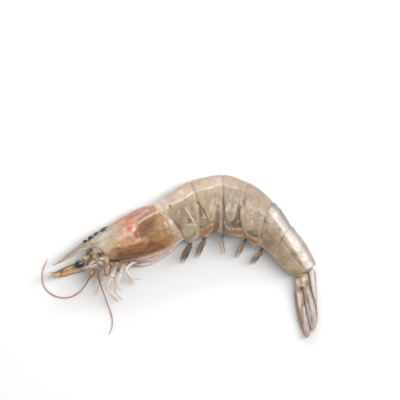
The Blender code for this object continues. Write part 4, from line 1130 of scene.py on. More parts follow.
# ==================================================================
# Head: eyes, stalks, scales, feelers
# ==================================================================
def eyes():
    z0 = HEAD_MID
    for side, sign in (("left", 1), ("right", -1)):
        rows, cols = 44, 60
        centre = np.array([79.3, 264.0, z0 + sign * 9.6])
        a = np.pi * (np.arange(1, rows)) / rows
        b = 2 * np.pi * np.arange(cols) / cols
        sa, ca = np.sin(a)[:, None], np.cos(a)[:, None]
        r = 5.3
        ex, ey = 1.05 * r * sa * np.cos(b)[None], 0.84 * r * sa * np.sin(b)[None]
        turn = math.radians(-24)
        pts = np.stack([centre[0] + ex * math.cos(turn) - ey * math.sin(turn), centre[1] + ex * math.sin(turn) + ey * math.cos(turn), centre[2] + 0.84 * r * ca + 0 * b[None]], -1)
        points = np.concatenate([pts.reshape(-1, 3), [centre + (0, 0, 0.84 * r)], [centre - (0, 0, 0.84 * r)]])
        x, y = points[:, 0], points[:, 1]
        paint = Paint((len(points),), (11, 11, 12))
        wob = 0.8 * fbm(points, 3, 2, 5)
        # grey cap on the upper front, pale cup where it meets its stalk
        paint.mix(step(0.2, 2.6, -(x - centre[0]) * 0.55 - (y - centre[1]) * 0.85 - 1.2 + wob), (88, 82, 84), 0.8)
        paint.mix(oval(x, y, 75.4, 262.0, 2.0, 1.4, -30, 0.7), (136, 128, 124), 0.4)
        paint.mix(step(1.4, 3.6, (x - centre[0]) * 0.62 - (y - centre[1]) * 0.8 - 1.2 + wob), (176, 164, 140), 0.8)
        obj = build(f"eye_{side}_ball", points, tube_faces(rows - 1, cols), paint.c, MAT_EYE)
        place(obj, "eye", f"eye_{side}")
        # stalk: a short thick two-jointed post
        soup = Soup()
        path = smooth([(83.2, 260.4, z0 + sign * 8.6), (86.0, 257.6, z0 + sign * 7.9), (89.2, 254.6, z0 + sign * 6.6), (92.8, 251.2, z0 + sign * 4.6)], 70)
        tt = np.linspace(0, 1, 70)
        w = 3.5 * (1 - 0.10 * tt) * (1 - 0.22 * np.exp(-((tt - 0.55) / 0.07) ** 2)) * (0.9 + 0.15 * np.exp(-(tt / 0.25) ** 2))
        p, f, t, ang = sweep(path, w, w * 0.9, 32, bumps=lambda s, v: 0.05 * np.sin(5 * v + 9 * s))
        p = p + (0.22 * fbm(p, 2.0, 3, 6))[:, None] * np.array([0.4, 0.4, 1.0])
        x, y = p[:, 0], p[:, 1]
        paint = Paint((len(p),), (158, 138, 106))
        paint.mix(step(0.48, 0.62, t), (134, 110, 84), 0.9)
        paint.mix(line(x, y, [(80.8, 256.8), (84, 254.2), (87, 252.4)], 0.8), (128, 118, 112), 0.7)
        paint.mix(oval(x, y, 87.0, 257.8, 1.8, 1.2, -40, 0.7), (172, 134, 84), 0.8)
        paint.mix(oval(x, y, 83.8, 257.2, 2.8, 1.5, -40, 0.7), (186, 172, 140), 0.7)
        paint.mix(oval(x, y, 87.8, 253.6, 2.8, 1.8, -45, 0.6), (78, 60, 48), 0.9)
        paint.mix(oval(x, y, 91.2, 254.6, 2.2, 1.4, -35, 0.6), (120, 104, 30), 0.9)
        paint.mix(oval(x, y, 93.0, 252.6, 1.4, 1.2, 0, 0.6), (150, 96, 60), 0.8)
        paint.mix(oval(x, y, 91.6, 249.8, 2.6, 1.9, -10, 0.6), (72, 58, 70), 0.92)
        # painted highlight: a small lilac glint on the dark purple spot
        paint.mix(oval(x, y, 92.2, 248.8, 1.0, 0.7, 0, 0.6), (176, 164, 190), 0.85)
        paint.shade(0.16 * fbm(p, 2.0, 3, 8))
        soup.put(p, f, paint.c, 0.7)
        obj = soup.make(f"eyestalk_{side}_post", MAT_LIMB)
        place(obj, "head_flesh", f"eyestalk_{side}")


def pad(points, z, thick, count=84, square=0.36, tilt=(0.0, 0.0)):
    """A cushion with this outline on the sheet, centred at height z."""
    ring = outline(points, 3)
    d = np.concatenate([[0], np.cumsum(np.linalg.norm(np.diff(np.concatenate([ring, ring[:1]]), axis=0), axis=1))])
    want = np.linspace(0, d[-1], count, endpoint=False)
    closed = np.concatenate([ring, ring[:1]])
    ring = np.stack([np.interp(want, d, closed[:, i]) for i in range(2)], axis=1)
    middle = ring.mean(0)
    grow = np.concatenate([np.linspace(0.06, 0.84, 12), [0.9, 0.945, 0.975, 0.992]])
    rise = np.sqrt(1 - grow ** (2 / square))
    grow = np.concatenate([grow, [1.0], grow[::-1]])
    rise = np.concatenate([rise, [0.0], -rise[::-1]])
    xy = middle + (ring - middle)[None] * grow[:, None, None]
    lean = (xy[..., 0] - middle[0]) * tilt[0] + (xy[..., 1] - middle[1]) * tilt[1]
    h = z + thick * rise[:, None] + lean
    pts = np.concatenate([xy, h[..., None]], axis=2).reshape(-1, 3)
    ends = np.array([[middle[0], middle[1], z + thick], [middle[0], middle[1], z - thick]])
    return np.concatenate([pts, ends]), tube_faces(len(grow), count)


def head_front():
    """The solid front of the head: the roots of the feelers, plate by plate."""
    z0 = HEAD_MID
    soup = Soup()

    def plate(points, z, thick, rgb, seed, marks=(), strokes=(), speck=0.5, tilt=(0.0, 0.0), rough=0.45):
        p, f = pad(points, z, thick, tilt=tilt)
        p = p + (rough * fbm(p, 2.2, 3, seed))[:, None] * np.array([0.3, 0.3, 1.0])
        x, y = p[:, 0], p[:, 1]
        paint = Paint((len(p),), rgb)
        for (pts, width, colour, share) in strokes:
            paint.mix(line(x, y, pts, width), colour, share)
        for (cx, cy, rx, ry, turn, soft, colour, share) in marks:
            paint.mix(oval(x, y, cx, cy, rx, ry, turn, soft), colour, share)
        paint.shade(0.13 * fbm(p, 2.4, 3, seed + 1))
        soup.put(p, f, paint.c, speck)

    # middle block under the blade, between the stalks
    plate([(86.0, 249.8), (92, 246.4), (97.4, 245.4), (101, 250), (104.6, 256.4), (106.6, 261.6), (100, 264.4), (92, 265.0), (87.0, 263.6), (85.2, 257.0)], z0 + 1.0, 3.6, (158, 142, 128), 3,
          marks=((92, 250, 4, 3, -20, 0.6, (84, 70, 72), 0.8),))
    for sign in (1, -1):
        # broad pale block by the corner of the shell; the two small white marks below its olive spot are painted glints
        plate([(91.6, 249.6), (95.6, 246.0), (102.4, 246.0), (107.4, 252.6), (110.4, 258.6), (109.4, 264.6), (102.6, 266.8), (96.4, 265.0), (92.0, 259.8)],
              z0 + sign * 5.2, 4.3, (176, 158, 136), 11 + sign,
              marks=((100.4, 254.5, 3.9, 2.1, -4, 0.6, (62, 52, 24), 0.95), (94.0, 254.2, 1.4, 1.8, 0, 0.7, (146, 118, 88), 0.7), (102.4, 258.6, 2.4, 0.7, -8, 0.5, (214, 206, 198), 0.85),
                     (99.8, 262.4, 2.2, 0.7, -10, 0.5, (206, 196, 186), 0.85), (102.6, 260.6, 2.3, 0.8, 10, 0.6, (84, 74, 64), 0.85),
                     (98.4, 260.2, 2.0, 0.7, -35, 0.6, (84, 74, 60), 0.85), (104.4, 263.0, 1.2, 1.8, 0, 0.6, (112, 88, 68), 0.8), (105.4, 257.8, 1.0, 2.2, -25, 0.6, (176, 140, 110), 0.8)),
              strokes=(([(94, 260), (97, 257.6), (99.4, 256.8)], 0.7, (108, 98, 80), 0.8), ([(95, 250), (98, 251.6)], 0.9, (160, 130, 120), 0.6), ([(106.6, 254.6), (107.2, 259.4), (107.0, 264.6)], 1.1, (186, 136, 90), 0.95),
                       ([(92.6, 247.6), (97, 247.2), (101, 249)], 1.0, (150, 138, 128), 0.6)))
        # slanting bars between the stalk and the long joint
        plate([(86.2, 263.6), (90.0, 260.0), (94.6, 257.0), (98.4, 256.6), (99.2, 259.6), (95.4, 263.0), (90.4, 266.0)],
              z0 + sign * 6.9, 1.9, (160, 142, 118), 21 + sign,
              strokes=(([(87, 264), (92, 259.8), (98, 256.8)], 0.75, (98, 86, 62), 0.9), ([(89.4, 265), (94, 261.8), (98.6, 258.6)], 0.6, (228, 216, 204), 0.9),
                       ([(91, 265.6), (95, 262.8), (98.8, 260.2)], 0.55, (112, 98, 78), 0.8), ([(86.4, 262.6), (90, 259.6)], 0.6, (214, 204, 180), 0.7)))
        # long joint running forward under the eye
        plate([(79.4, 269.6), (85.0, 266.6), (91.0, 264.2), (97.6, 262.6), (104.6, 262.0), (105.6, 264.8), (100, 267.2), (93.6, 268.4), (86.6, 269.6), (81.4, 270.6)],
              z0 + sign * 5.8, 1.7, (186, 168, 150), 27 + sign, rough=0.25,
              strokes=(([(80, 269.4), (87, 266.8), (95, 264.4), (104, 263.0)], 0.6, (226, 214, 206), 0.85), ([(80, 270.4), (88, 268.2), (96, 266.0), (104, 264.6)], 0.5, (118, 104, 96), 0.85),
                       ([(84, 270.2), (92, 268.6)], 0.6, (200, 178, 166), 0.7), ([(98, 266.6), (103, 266.0)], 0.8, (128, 104, 88), 0.8)))
        # root of the long feeler
        plate([(90.8, 268.4), (94.6, 267.4), (96.4, 270.0), (94.4, 274.4), (91.4, 278.8), (88.9, 279.6), (89.2, 275.6), (91.0, 271.8)],
              z0 + sign * 2.0, 1.4, (152, 114, 82), 33 + sign, rough=0.25,
              strokes=(([(95.8, 269.6), (93.6, 274.0), (90.6, 278.8)], 0.7, (126, 80, 52), 0.85), ([(92.2, 269.4), (92.0, 273)], 0.6, (222, 184, 140), 0.7)))
    # the brown mass of mouth parts under the corner of the shell
    plate([(96.6, 265.0), (103.0, 262.6), (112.0, 262.4), (117.6, 264.4), (113.6, 270.4), (108.8, 274.8), (104.0, 276.8), (100.6, 274.6), (97.6, 270.8)],
          z0 + 2.4, 2.4, (184, 154, 132), 41,
          strokes=(([(99, 267.4), (102, 273), (103.6, 279)], 0.7, (196, 172, 154), 0.8), ([(103, 266), (105.2, 271.6), (105.6, 277)], 0.7, (92, 74, 64), 0.8),
                   ([(107.4, 266), (108.6, 270.4), (107.8, 275)], 0.7, (182, 158, 140), 0.7), ([(97.6, 266.6), (99.6, 270)], 0.8, (206, 186, 178), 0.7),
                   ([(110.4, 267), (110.6, 271)], 0.6, (98, 80, 68), 0.7)))
    plate([(104, 258.6), (114, 260.0), (124, 260.4), (134, 259.4), (143.0, 257.4), (146.0, 260.0), (141.0, 263.8), (133.0, 264.6), (125.0, 268.0), (118.6, 272.4), (113.0, 268.4), (106.0, 264.4)],
          z0 + 2.6, 4.2, (146, 122, 106), 51,
          strokes=(([(112, 263.6), (117, 267)], 0.7, (196, 176, 160), 0.6), ([(132, 261.2), (138, 260.4), (144, 259.4)], 1.4, (190, 170, 166), 0.8)))
    for k, run in enumerate(([(109.4, 262.8), (104.6, 267.4), (101.6, 272.8), (100.4, 277.6)], [(112.6, 263.0), (107.8, 268.4), (104.8, 274.4), (103.2, 280.4)],
                             [(115.6, 263.6), (111.2, 269.4), (108.4, 274.6), (106.4, 279.4)], [(105.6, 265.4), (101.4, 268.4), (99.0, 271.8), (98.4, 275.0)])):
        route = smooth([(a, b, z0 + 5.2 - 0.5 * i - 0.3 * k) for i, (a, b) in enumerate(run)], 50)
        w = np.interp(np.linspace(0, 1, 50), (0, 0.3, 1), (1.1, 0.95, 0.4))
        p, f, tt, a = sweep(route, w, w * 0.7, 14)
        paint = Paint((len(p),), (208, 182, 162))
        paint.mix(step(-0.2, 0.4, fbm(p, 3.0, 2, 57 + k)), (168, 138, 118), 0.6)
        soup.put(p, f, paint.c, 0.4)
    obj = soup.make("head_front_plates", MAT_LIMB)
    place(obj, "head_flesh", "head_front")


def blade(centre, widths, thick, up, n=90, m=22, crown=0.25, ribs=(), sag=0.0, jag=0.0, seed=1):
    """A thin leaf along a centre line: points in a closed grid, with position
    along (0..1) and across (-1..1) for each point."""
    line_ = smooth(centre, n)
    path = line_[:, :3]
    d = np.concatenate([[0], np.cumsum(np.linalg.norm(np.diff(path, axis=0), axis=1))])
    t = d / d[-1]
    tangent = np.gradient(path, d, axis=0)
    tangent /= np.linalg.norm(tangent, axis=1)[:, None]
    side = np.cross(tangent, np.asarray(up, float))
    side /= np.linalg.norm(side, axis=1)[:, None]
    lift = np.cross(side, tangent)
    wt = np.linspace(0, 1, len(widths))
    left = np.interp(t, wt, [w[0] for w in widths])
    right = np.interp(t, wt, [w[1] for w in widths])
    # soften the polyline of widths
    k = max(3, n // 14) | 1
    pad = k // 2
    ker = np.hanning(k + 2)[1:-1]
    ker /= ker.sum()
    left = np.convolve(np.pad(left, pad, mode="edge"), ker, "valid")
    right = np.convolve(np.pad(right, pad, mode="edge"), ker, "valid")
    end = np.sqrt(np.clip(1 - np.clip((t - 0.93) / 0.07, 0, 1) ** 2, 0.015, 1))
    start = np.sqrt(np.clip(1 - np.clip((0.04 - t) / 0.04, 0, 1) ** 2, 0.04, 1))
    left, right = left * end * start, right * end * start
    s_top = -np.cos(np.linspace(0, math.pi, m))
    s = np.concatenate([s_top, s_top[-2:0:-1]])
    face = np.concatenate([np.ones(m), -np.ones(m - 2)])
    sides = len(s)
    reach = np.where(s[None] < 0, left[:, None] * -s[None] * -1, right[:, None] * s[None])
    body = thick * (0.35 + 0.65 * np.minimum(1, end * start)[:, None]) * np.sqrt(np.clip(1 - s[None] ** 2, 0, 1)) ** 0.7
    high = crown * (1 - s[None] ** 2) * np.minimum(left, right)[:, None] * 0.35
    for pos, amp, wid in ribs:
        high = high + amp * np.exp(-((s[None] - pos) / wid) ** 2) * (1 - 0.6 * t[:, None])
    high = high + sag * (t[:, None] ** 2)
    z = high + face[None] * body * 0.5
    pts = path[:, None, :] + side[:, None, :] * reach[..., None] + lift[:, None, :] * z[..., None]
    if jag:
        wob = fbm(pts, 3.0, 2, seed)
        pts = pts + side[:, None, :] * (jag * wob * np.abs(s[None]) ** 3)[..., None]
    points = np.concatenate([pts.reshape(-1, 3), path[:1], path[-1:]])
    tt = np.concatenate([np.repeat(t, sides), [0, 1]])
    ss = np.concatenate([np.tile(s, n), [0, 0]])
    return points, tube_faces(n, sides), tt, ss


def bristle(soup, root, tip, r, rgb, sides=4, bend=(0, 0, 0)):
    root, tip = np.asarray(root, float), np.asarray(tip, float)
    mid = (root + tip) / 2 + np.asarray(bend, float)
    path = smooth([root, mid, tip], 5)
    p, f, t, a = sweep(path, np.linspace(r, r * 0.25, 5), np.linspace(r, r * 0.25, 5), sides, up=(0.1, 0.2, 1), round_ends=(0, 0))
    soup.put(p, f, np.array(rgb, float), 0.0)


def scales_and_feelers():
    z0 = HEAD_MID
    rng = np.random.default_rng(5)
    for side, sign in (("left", 1), ("right", -1)):
        soup = Soup()
        route = [(92.0, 267.8, z0 + sign * 3.6), (84, 269.4, z0 + sign * 3.5), (72, 269.8, z0 + sign * 3.4), (62, 272.9, z0 + sign * 3.2), (53.4, 275.4, z0 + sign * 3.1)]
        widths = [(1.2, 1.2), (1.7, 1.5), (2.6, 2.6), (4.4, 3.8), (4.7, 4.3), (4.2, 4.4), (3.0, 4.0), (1.4, 1.8)]
        p, f, t, s = blade(route, widths, 0.9, (0, 0, sign), ribs=((-0.45, 0.40, 0.10), (0.15, 0.25, 0.12), (0.8, 0.3, 0.1)), crown=0.3, jag=0.7, seed=4)
        x, y = p[:, 0], p[:, 1]
        paint = Paint((len(p),), (186, 160, 120))
        paint.mix(step(72, 80, x), (186, 160, 138), 0.85)
        paint.mix(step(82, 88, x), (200, 184, 168), 0.85)
        paint.mix(oval(x, y, 69.6, 268.2, 4.6, 1.7, -24, 0.7), (208, 190, 152), 0.8)
        paint.mix(line(x, y, [(68, 271.6), (65, 272.8), (61.6, 274.4)], 1.4), (200, 122, 52), 0.85)
        paint.mix(line(x, y, [(70, 273.2), (64, 275.4), (60, 277)], 0.9), (184, 128, 72), 0.8)
        paint.mix(oval(x, y, 61.8, 272.0, 1.8, 1.2, -40, 0.7), (96, 52, 24), 0.8)
        paint.mix(oval(x, y, 60.6, 275.2, 1.4, 1.0, -20, 0.7), (120, 66, 30), 0.8)
        paint.mix(line(x, y, [(73, 264.6), (66, 267.6), (59, 271.4), (53, 273.4)], 0.8), (92, 72, 48), 0.9)
        paint.mix(line(x, y, [(84, 271.0), (72, 274.4), (62, 277.4)], 0.75), (104, 84, 64), 0.85)
        paint.mix(line(x, y, [(76, 267), (71, 268.6), (66, 270.6)], 0.6), (158, 96, 52), 0.7)
        paint.mix(line(x, y, [(72, 271.6), (64, 273.4), (57, 275.2)], 0.5), (232, 196, 140), 0.6)
        paint.mix(step(0.86, 1.0, t), (206, 170, 128), 0.7)
        paint.shade(0.15 * fbm(p, 2.6, 3, 12))
        soup.put(p, f, paint.c, 0.5)
        # hard outer spine and the frayed bristles of the tip
        spine = smooth([(74.6, 264.0, z0 + sign * 3.7), (66, 267.2, z0 + sign * 3.7), (58.0, 271.2, z0 + sign * 3.6), (50.6, 274.0, z0 + sign * 3.4)], 40)
        p, f, t, a = sweep(spine, np.linspace(0.75, 0.22, 40), np.linspace(0.6, 0.22, 40), 10)
        soup.put(p, f, (138, 110, 78), 0.3)
        for i in range(44):
            k = i / 43
            rx = 63 - 10.0 * k
            ry = 277.2 - 1.6 * k if i % 2 else 270.8 + 4.0 * k
            root = (rx, ry - (0.8 if i % 2 else -0.8), z0 + sign * 3.2)
            tip = (rx - 2.4 - 1.6 * rng.random(), ry + (1.5 if i % 2 else -0.1) + rng.normal() * 0.35, z0 + sign * (3.2 + 0.3 * rng.normal()))
            bristle(soup, root, tip, 0.15, (202, 166, 124))
        obj = soup.make(f"antennal_scale_{side}_plate", MAT_HORN)
        place(obj, "horn", f"antennal_scale_{side}")

        soup = Soup()
        # jointed stem of the small feelers, then two short whips
        path, marks = bent([(88.0, 264.4, z0 + sign * 1.2), (81, 266.4, z0 + sign * 1.15), (75, 267.6, z0 + sign * 1.15), (70, 268.6, z0 + sign * 1.1)], 60)
        tt = np.linspace(0, 1, 60)
        w = 1.5 - 0.3 * tt
        for m_ in marks[1:-1]:
            w = w * (1 - 0.25 * np.exp(-((tt - m_) / 0.03) ** 2))
        p, f, t, a = sweep(path, w, w * 0.6, 16)
        paint = Paint((len(p),), (196, 160, 116))
        paint.shade(0.2 * fbm(p, 2, 3, 3))
        soup.put(p, f, paint.c, 0.4)
        for whip, dy, reach in ((0, -0.6, 48.6), (1, 1.2, 54.0)):
            path = smooth([(71, 268.6 + dy * 0.6, z0 + sign * 1.1), (64, 270.4 + dy, z0 + sign * 1.1), (57, 273.2 + dy * 1.6, z0 + sign * (1.0 + 0.3 * whip)),
                           (reach, 274.8 + dy * 4.0, z0 + sign * (0.8 + 0.5 * whip))], 50)
            r = np.linspace(0.8, 0.2, 50)
            p, f, t, a = sweep(path, r, r, 10, bumps=lambda s_, v: 0.10 * np.sin(s_ * 150))
            paint = Paint((len(p),), (198, 152, 104))
            paint.mix(np.sin(t * 90) > 0.2, (150, 104, 68), 0.45)
            soup.put(p, f, paint.c, 0.1)
        obj = soup.make(f"antennule_{side}_stem", MAT_HORN)
        place(obj, "horn", f"antennule_{side}")


def feeler(name, node_name, route, root_dark):
    path = smooth([r[:3] for r in route], 480)
    t = np.linspace(0, 1, 480)
    r = np.interp(t, np.linspace(0, 1, len(route)), [a[3] for a in route]) * 0.56
    # fine rings all along
    rings = 1 + 0.08 * np.sin(t * 2 * math.pi * 190)
    p, f, tt, a = sweep(path, r * rings, r * rings, 12)
    paint = Paint((len(p),), (188, 108, 84))
    paint.mix(1 - step(0.03, root_dark, tt), (120, 68, 40), 0.92)
    paint.mix(step(0.6, 1.0, tt), (206, 120, 100), 0.6)
    paint.mix(step(-0.1, 0.5, fbm(p, 7, 2, 19)), (158, 84, 62), 0.4)
    paint.shade(0.10 * fbm(p, 5, 3, 9))
    soup = Soup()
    soup.put(p, f, paint.c, 0.0)
    obj = soup.make(name, MAT_THREAD)
    place(obj, "antenna", node_name)


def feelers():
    z = HEAD_MID
    feeler("feeler_left", "antenna_left",
           [(97.5, 274.6, z + 5.3, 1.25), (100.9, 285.6, z + 1, 1.1), (103.8, 293.6, z - 6, 1.0),
            (106.6, 302.8, z - 12, 0.95), (110.1, 311.4, 2.2, 0.9), (112.1, 321.8, 1.2, 0.8),
            (111.4, 328.6, 1.2, 0.7), (108.9, 334.6, 1.2, 0.55)], 0.5)
    feeler("feeler_right", "antenna_right",
           [(92.0, 273.4, z - 6.0, 1.25), (86, 284, z - 10.5, 1.1), (76, 294.8, 3.0, 1.0),
            (64, 298.2, 1.4, 0.95), (52, 295, 1.2, 0.9), (43.6, 286.6, 1.2, 0.85),
            (41.6, 276.0, 1.2, 0.75), (43.6, 266.5, 1.2, 0.65), (46.8, 259.6, 1.2, 0.5)], 0.22)


# ==================================================================
# Legs
# ==================================================================
def legs():
    z = HEAD_MID
    routes = {
        "left_1": ([(115.6, 264.4, z + 6.4), (111.6, 277.2, z + 9), (106.4, 288.6, z + 6), (110.4, 294.4, z + 1), (117.4, 300.8, z - 6)], 1.8, True),
        "left_2": ([(124.6, 263.4, z + 7.0), (121.2, 272.6, z + 10), (117.0, 284.2, z + 9.4), (114.8, 291.6, z + 6), (121.8, 299.6, z - 1)], 1.7, True),
        "left_3": ([(137.0, 259.6, z + 6.6), (131.0, 264.0, z + 9.4), (125.4, 269.2, z + 10), (131.4, 277.6, z + 8), (140.6, 278.8, z + 3)], 1.6, True),
        "left_4": ([(140.4, 258.8, z + 6), (149, 259.4, z + 6.6), (160, 255.2, z + 7), (168, 250.8, z + 6.4)], 1.4, False),
        "left_5": ([(150.0, 252.6, z + 6), (157, 252.0, z + 6), (165, 248.4, z + 5.2), (172, 243.4, z + 4.4)], 1.3, False),
        "right_1": ([(111.0, 266.8, z - 4.2), (106.2, 273.8, z - 0.6), (101.0, 280.6, z - 2.6), (98.2, 287.0, z - 6), (96.8, 294.0, z - 11)], 1.7, True),
        "right_2": ([(119.4, 266.0, z - 4.6), (113.8, 275.4, z - 2.6), (115.6, 282.4, z - 5), (120.4, 289.8, z - 10)], 1.6, True),
        "right_3": ([(129.8, 263.2, z - 5), (126.2, 270.4, z - 6), (129.2, 277.0, z - 9), (133.6, 283.4, z - 14)], 1.5, True),
        "right_4": ([(141.2, 257.4, z - 4.6), (149.4, 260.4, z - 4.6), (158, 258.2, z - 4.6), (166.6, 253.4, z - 4.6)], 1.4, False),
        "right_5": ([(150.2, 252.6, z - 5), (157.6, 253.2, z - 5), (166.0, 249.4, z - 5), (172.6, 244.6, z - 5)], 1.3, False),
    }
    for k, (name, (joints, thick, pincer)) in enumerate(routes.items()):
        soup = Soup()
        path, marks = bent(joints, 190, 0.8)
        t = np.linspace(0, 1, 190)
        first = marks[1]
        # a broad flat upper joint, then slender shafts
        r = np.interp(t, (0, first * 0.55, first, min(1, first + 0.12), 1), (thick * 1.6, thick * 1.4, thick * 0.86, thick * 0.80, thick * 0.58))
        for m_ in marks[1:-1]:
            r = r * (1 - 0.15 * np.exp(-((t - m_) / 0.012) ** 2)) * (1 + 0.08 * np.exp(-((t - m_ + 0.03) / 0.022) ** 2))
        if pincer:
            r = r * (1 + 0.25 * np.exp(-((t - 0.86) / 0.06) ** 2))
        flat_ = np.interp(t, (0, first, min(1, first + 0.12)), (0.62, 0.8, 0.9))
        p, f, tt, a = sweep(path, r, r * flat_, 20)
        # the right legs are painted paler than the left to make up for the shade they lie in: painted light
        paint = Paint((len(p),), (228, 209, 194) if name.startswith("left") else (236, 218, 206))
        paint.mix(1 - step(first * 0.2, first * 0.6, tt), (160, 134, 112), 0.4 if name in ("left_2", "left_3") else 0.9)
        edge_line = np.exp(-((np.abs(np.cos(a)) - 0.95) / 0.12) ** 2)
        paint.mix(edge_line * (1 - step(first * 0.8, first, tt)), (206, 184, 166), 0.75)
        paint.mix(np.exp(-((np.sin(a) - 0.9) / 0.25) ** 2) * (1 - step(first * 0.5, first, tt)), (118, 96, 82), 0.5)
        for m_ in marks[1:-1]:
            paint.mix(np.exp(-((tt - m_) / 0.010) ** 2), (176, 140, 116), 0.6)
        paint.mix(step(0.93, 1.0, tt), (232, 204, 188), 0.4)
        if not pincer:
            paint.mix(np.ones(len(p)), (206, 180, 170), 0.6)
        paint.shade(0.07 * fbm(p, 2.5, 3, 40 + k))
        soup.put(p, f, paint.c, 0.35)
        if pincer:            # the short thick joint under the shell
            x0, y0, h0 = joints[0]
            base_path = smooth([(x0 + 2.4, y0 - 6.4, h0 - 1.6 * np.sign(h0 - z)), (x0 + 1.0, y0 - 2.2, h0 - 0.5 * np.sign(h0 - z)), (x0 - 0.2, y0 + 1.6, h0)], 40)
            p, f, tt, a = sweep(base_path, np.linspace(3.8, 2.6, 40), np.linspace(2.2, 1.5, 40), 24)
            p = p + (0.3 * fbm(p, 2.4, 3, 44))[:, None] * np.array([0.4, 0.4, 1.0])
            paint = Paint((len(p),), (144, 118, 96))
            paint.mix(np.exp(-((np.abs(np.cos(a)) - 0.9) / 0.2) ** 2), (190, 166, 144), 0.55)
            paint.mix(step(0.0, 0.5, fbm(p, 3.0, 2, 45)), (112, 88, 72), 0.5)
            soup.put(p, f, paint.c, 0.5)
        end, before = path[-1], path[-12]
        ahead = (end - before) / np.linalg.norm(end - before)
        out = np.cross(ahead, (0, 0, 1))
        out /= np.linalg.norm(out)
        if pincer:
            for sgn in (1, -1):
                tip = end + ahead * 2.6 + out * sgn * 0.45
                root = end - ahead * 0.6 + out * sgn * 0.35
                p, f, tt, a = sweep(smooth([root, (root + tip) / 2 + out * sgn * 0.35, tip], 16), np.linspace(0.42, 0.1, 16), np.linspace(0.42, 0.1, 16), 10)
                soup.put(p, f, (234, 212, 198), 0.2)
        else:
            p, f, tt, a = sweep(smooth([end - ahead * 0.5, end + ahead * 2.2], 10), np.linspace(0.5, 0.1, 10), np.linspace(0.5, 0.1, 10), 10)
            soup.put(p, f, (206, 176, 150), 0.2)
        obj = soup.make(f"walking_leg_{name}", MAT_LIMB)
        place(obj, "leg", f"leg_{name}")
    for side, sign in (("left", 1), ("right", -1)):
        soup = Soup()
        path, marks = bent([(106.0, 266.2, z + sign * 5.0), (101.6, 268.4, z + sign * 5.0), (99.8, 272.2, z + sign * 5.0), (102.2, 278.4, z + sign * 4.6)], 120, 1.2)
        t = np.linspace(0, 1, 120)
        w = 2.0 * (1 - 0.70 * t)
        for m_ in marks[1:-1]:
            w = w * (1 - 0.22 * np.exp(-((t - m_) / 0.02) ** 2))
        p, f, tt, a = sweep(path, w, w * 0.8, 18)
        paint = Paint((len(p),), (150, 126, 108))
        paint.mix(step(0.5, 1, tt), (204, 182, 166), 0.8)
        paint.shade(0.14 * fbm(p, 2.5, 3, 60))
        soup.put(p, f, paint.c, 0.5)
        rng = np.random.default_rng(11)
        for i in range(26):
            k = 0.35 + 0.62 * i / 25
            c = path[int(k * 119)]
            bristle(soup, c, c + np.array([-0.8 - rng.random(), 1.2 + rng.random(), sign * rng.normal() * 0.6]), 0.11, (176, 146, 120))
        obj = soup.make(f"mouth_limb_{side}_palp", MAT_LIMB)
        place(obj, "head_flesh", f"mouth_limb_{side}")


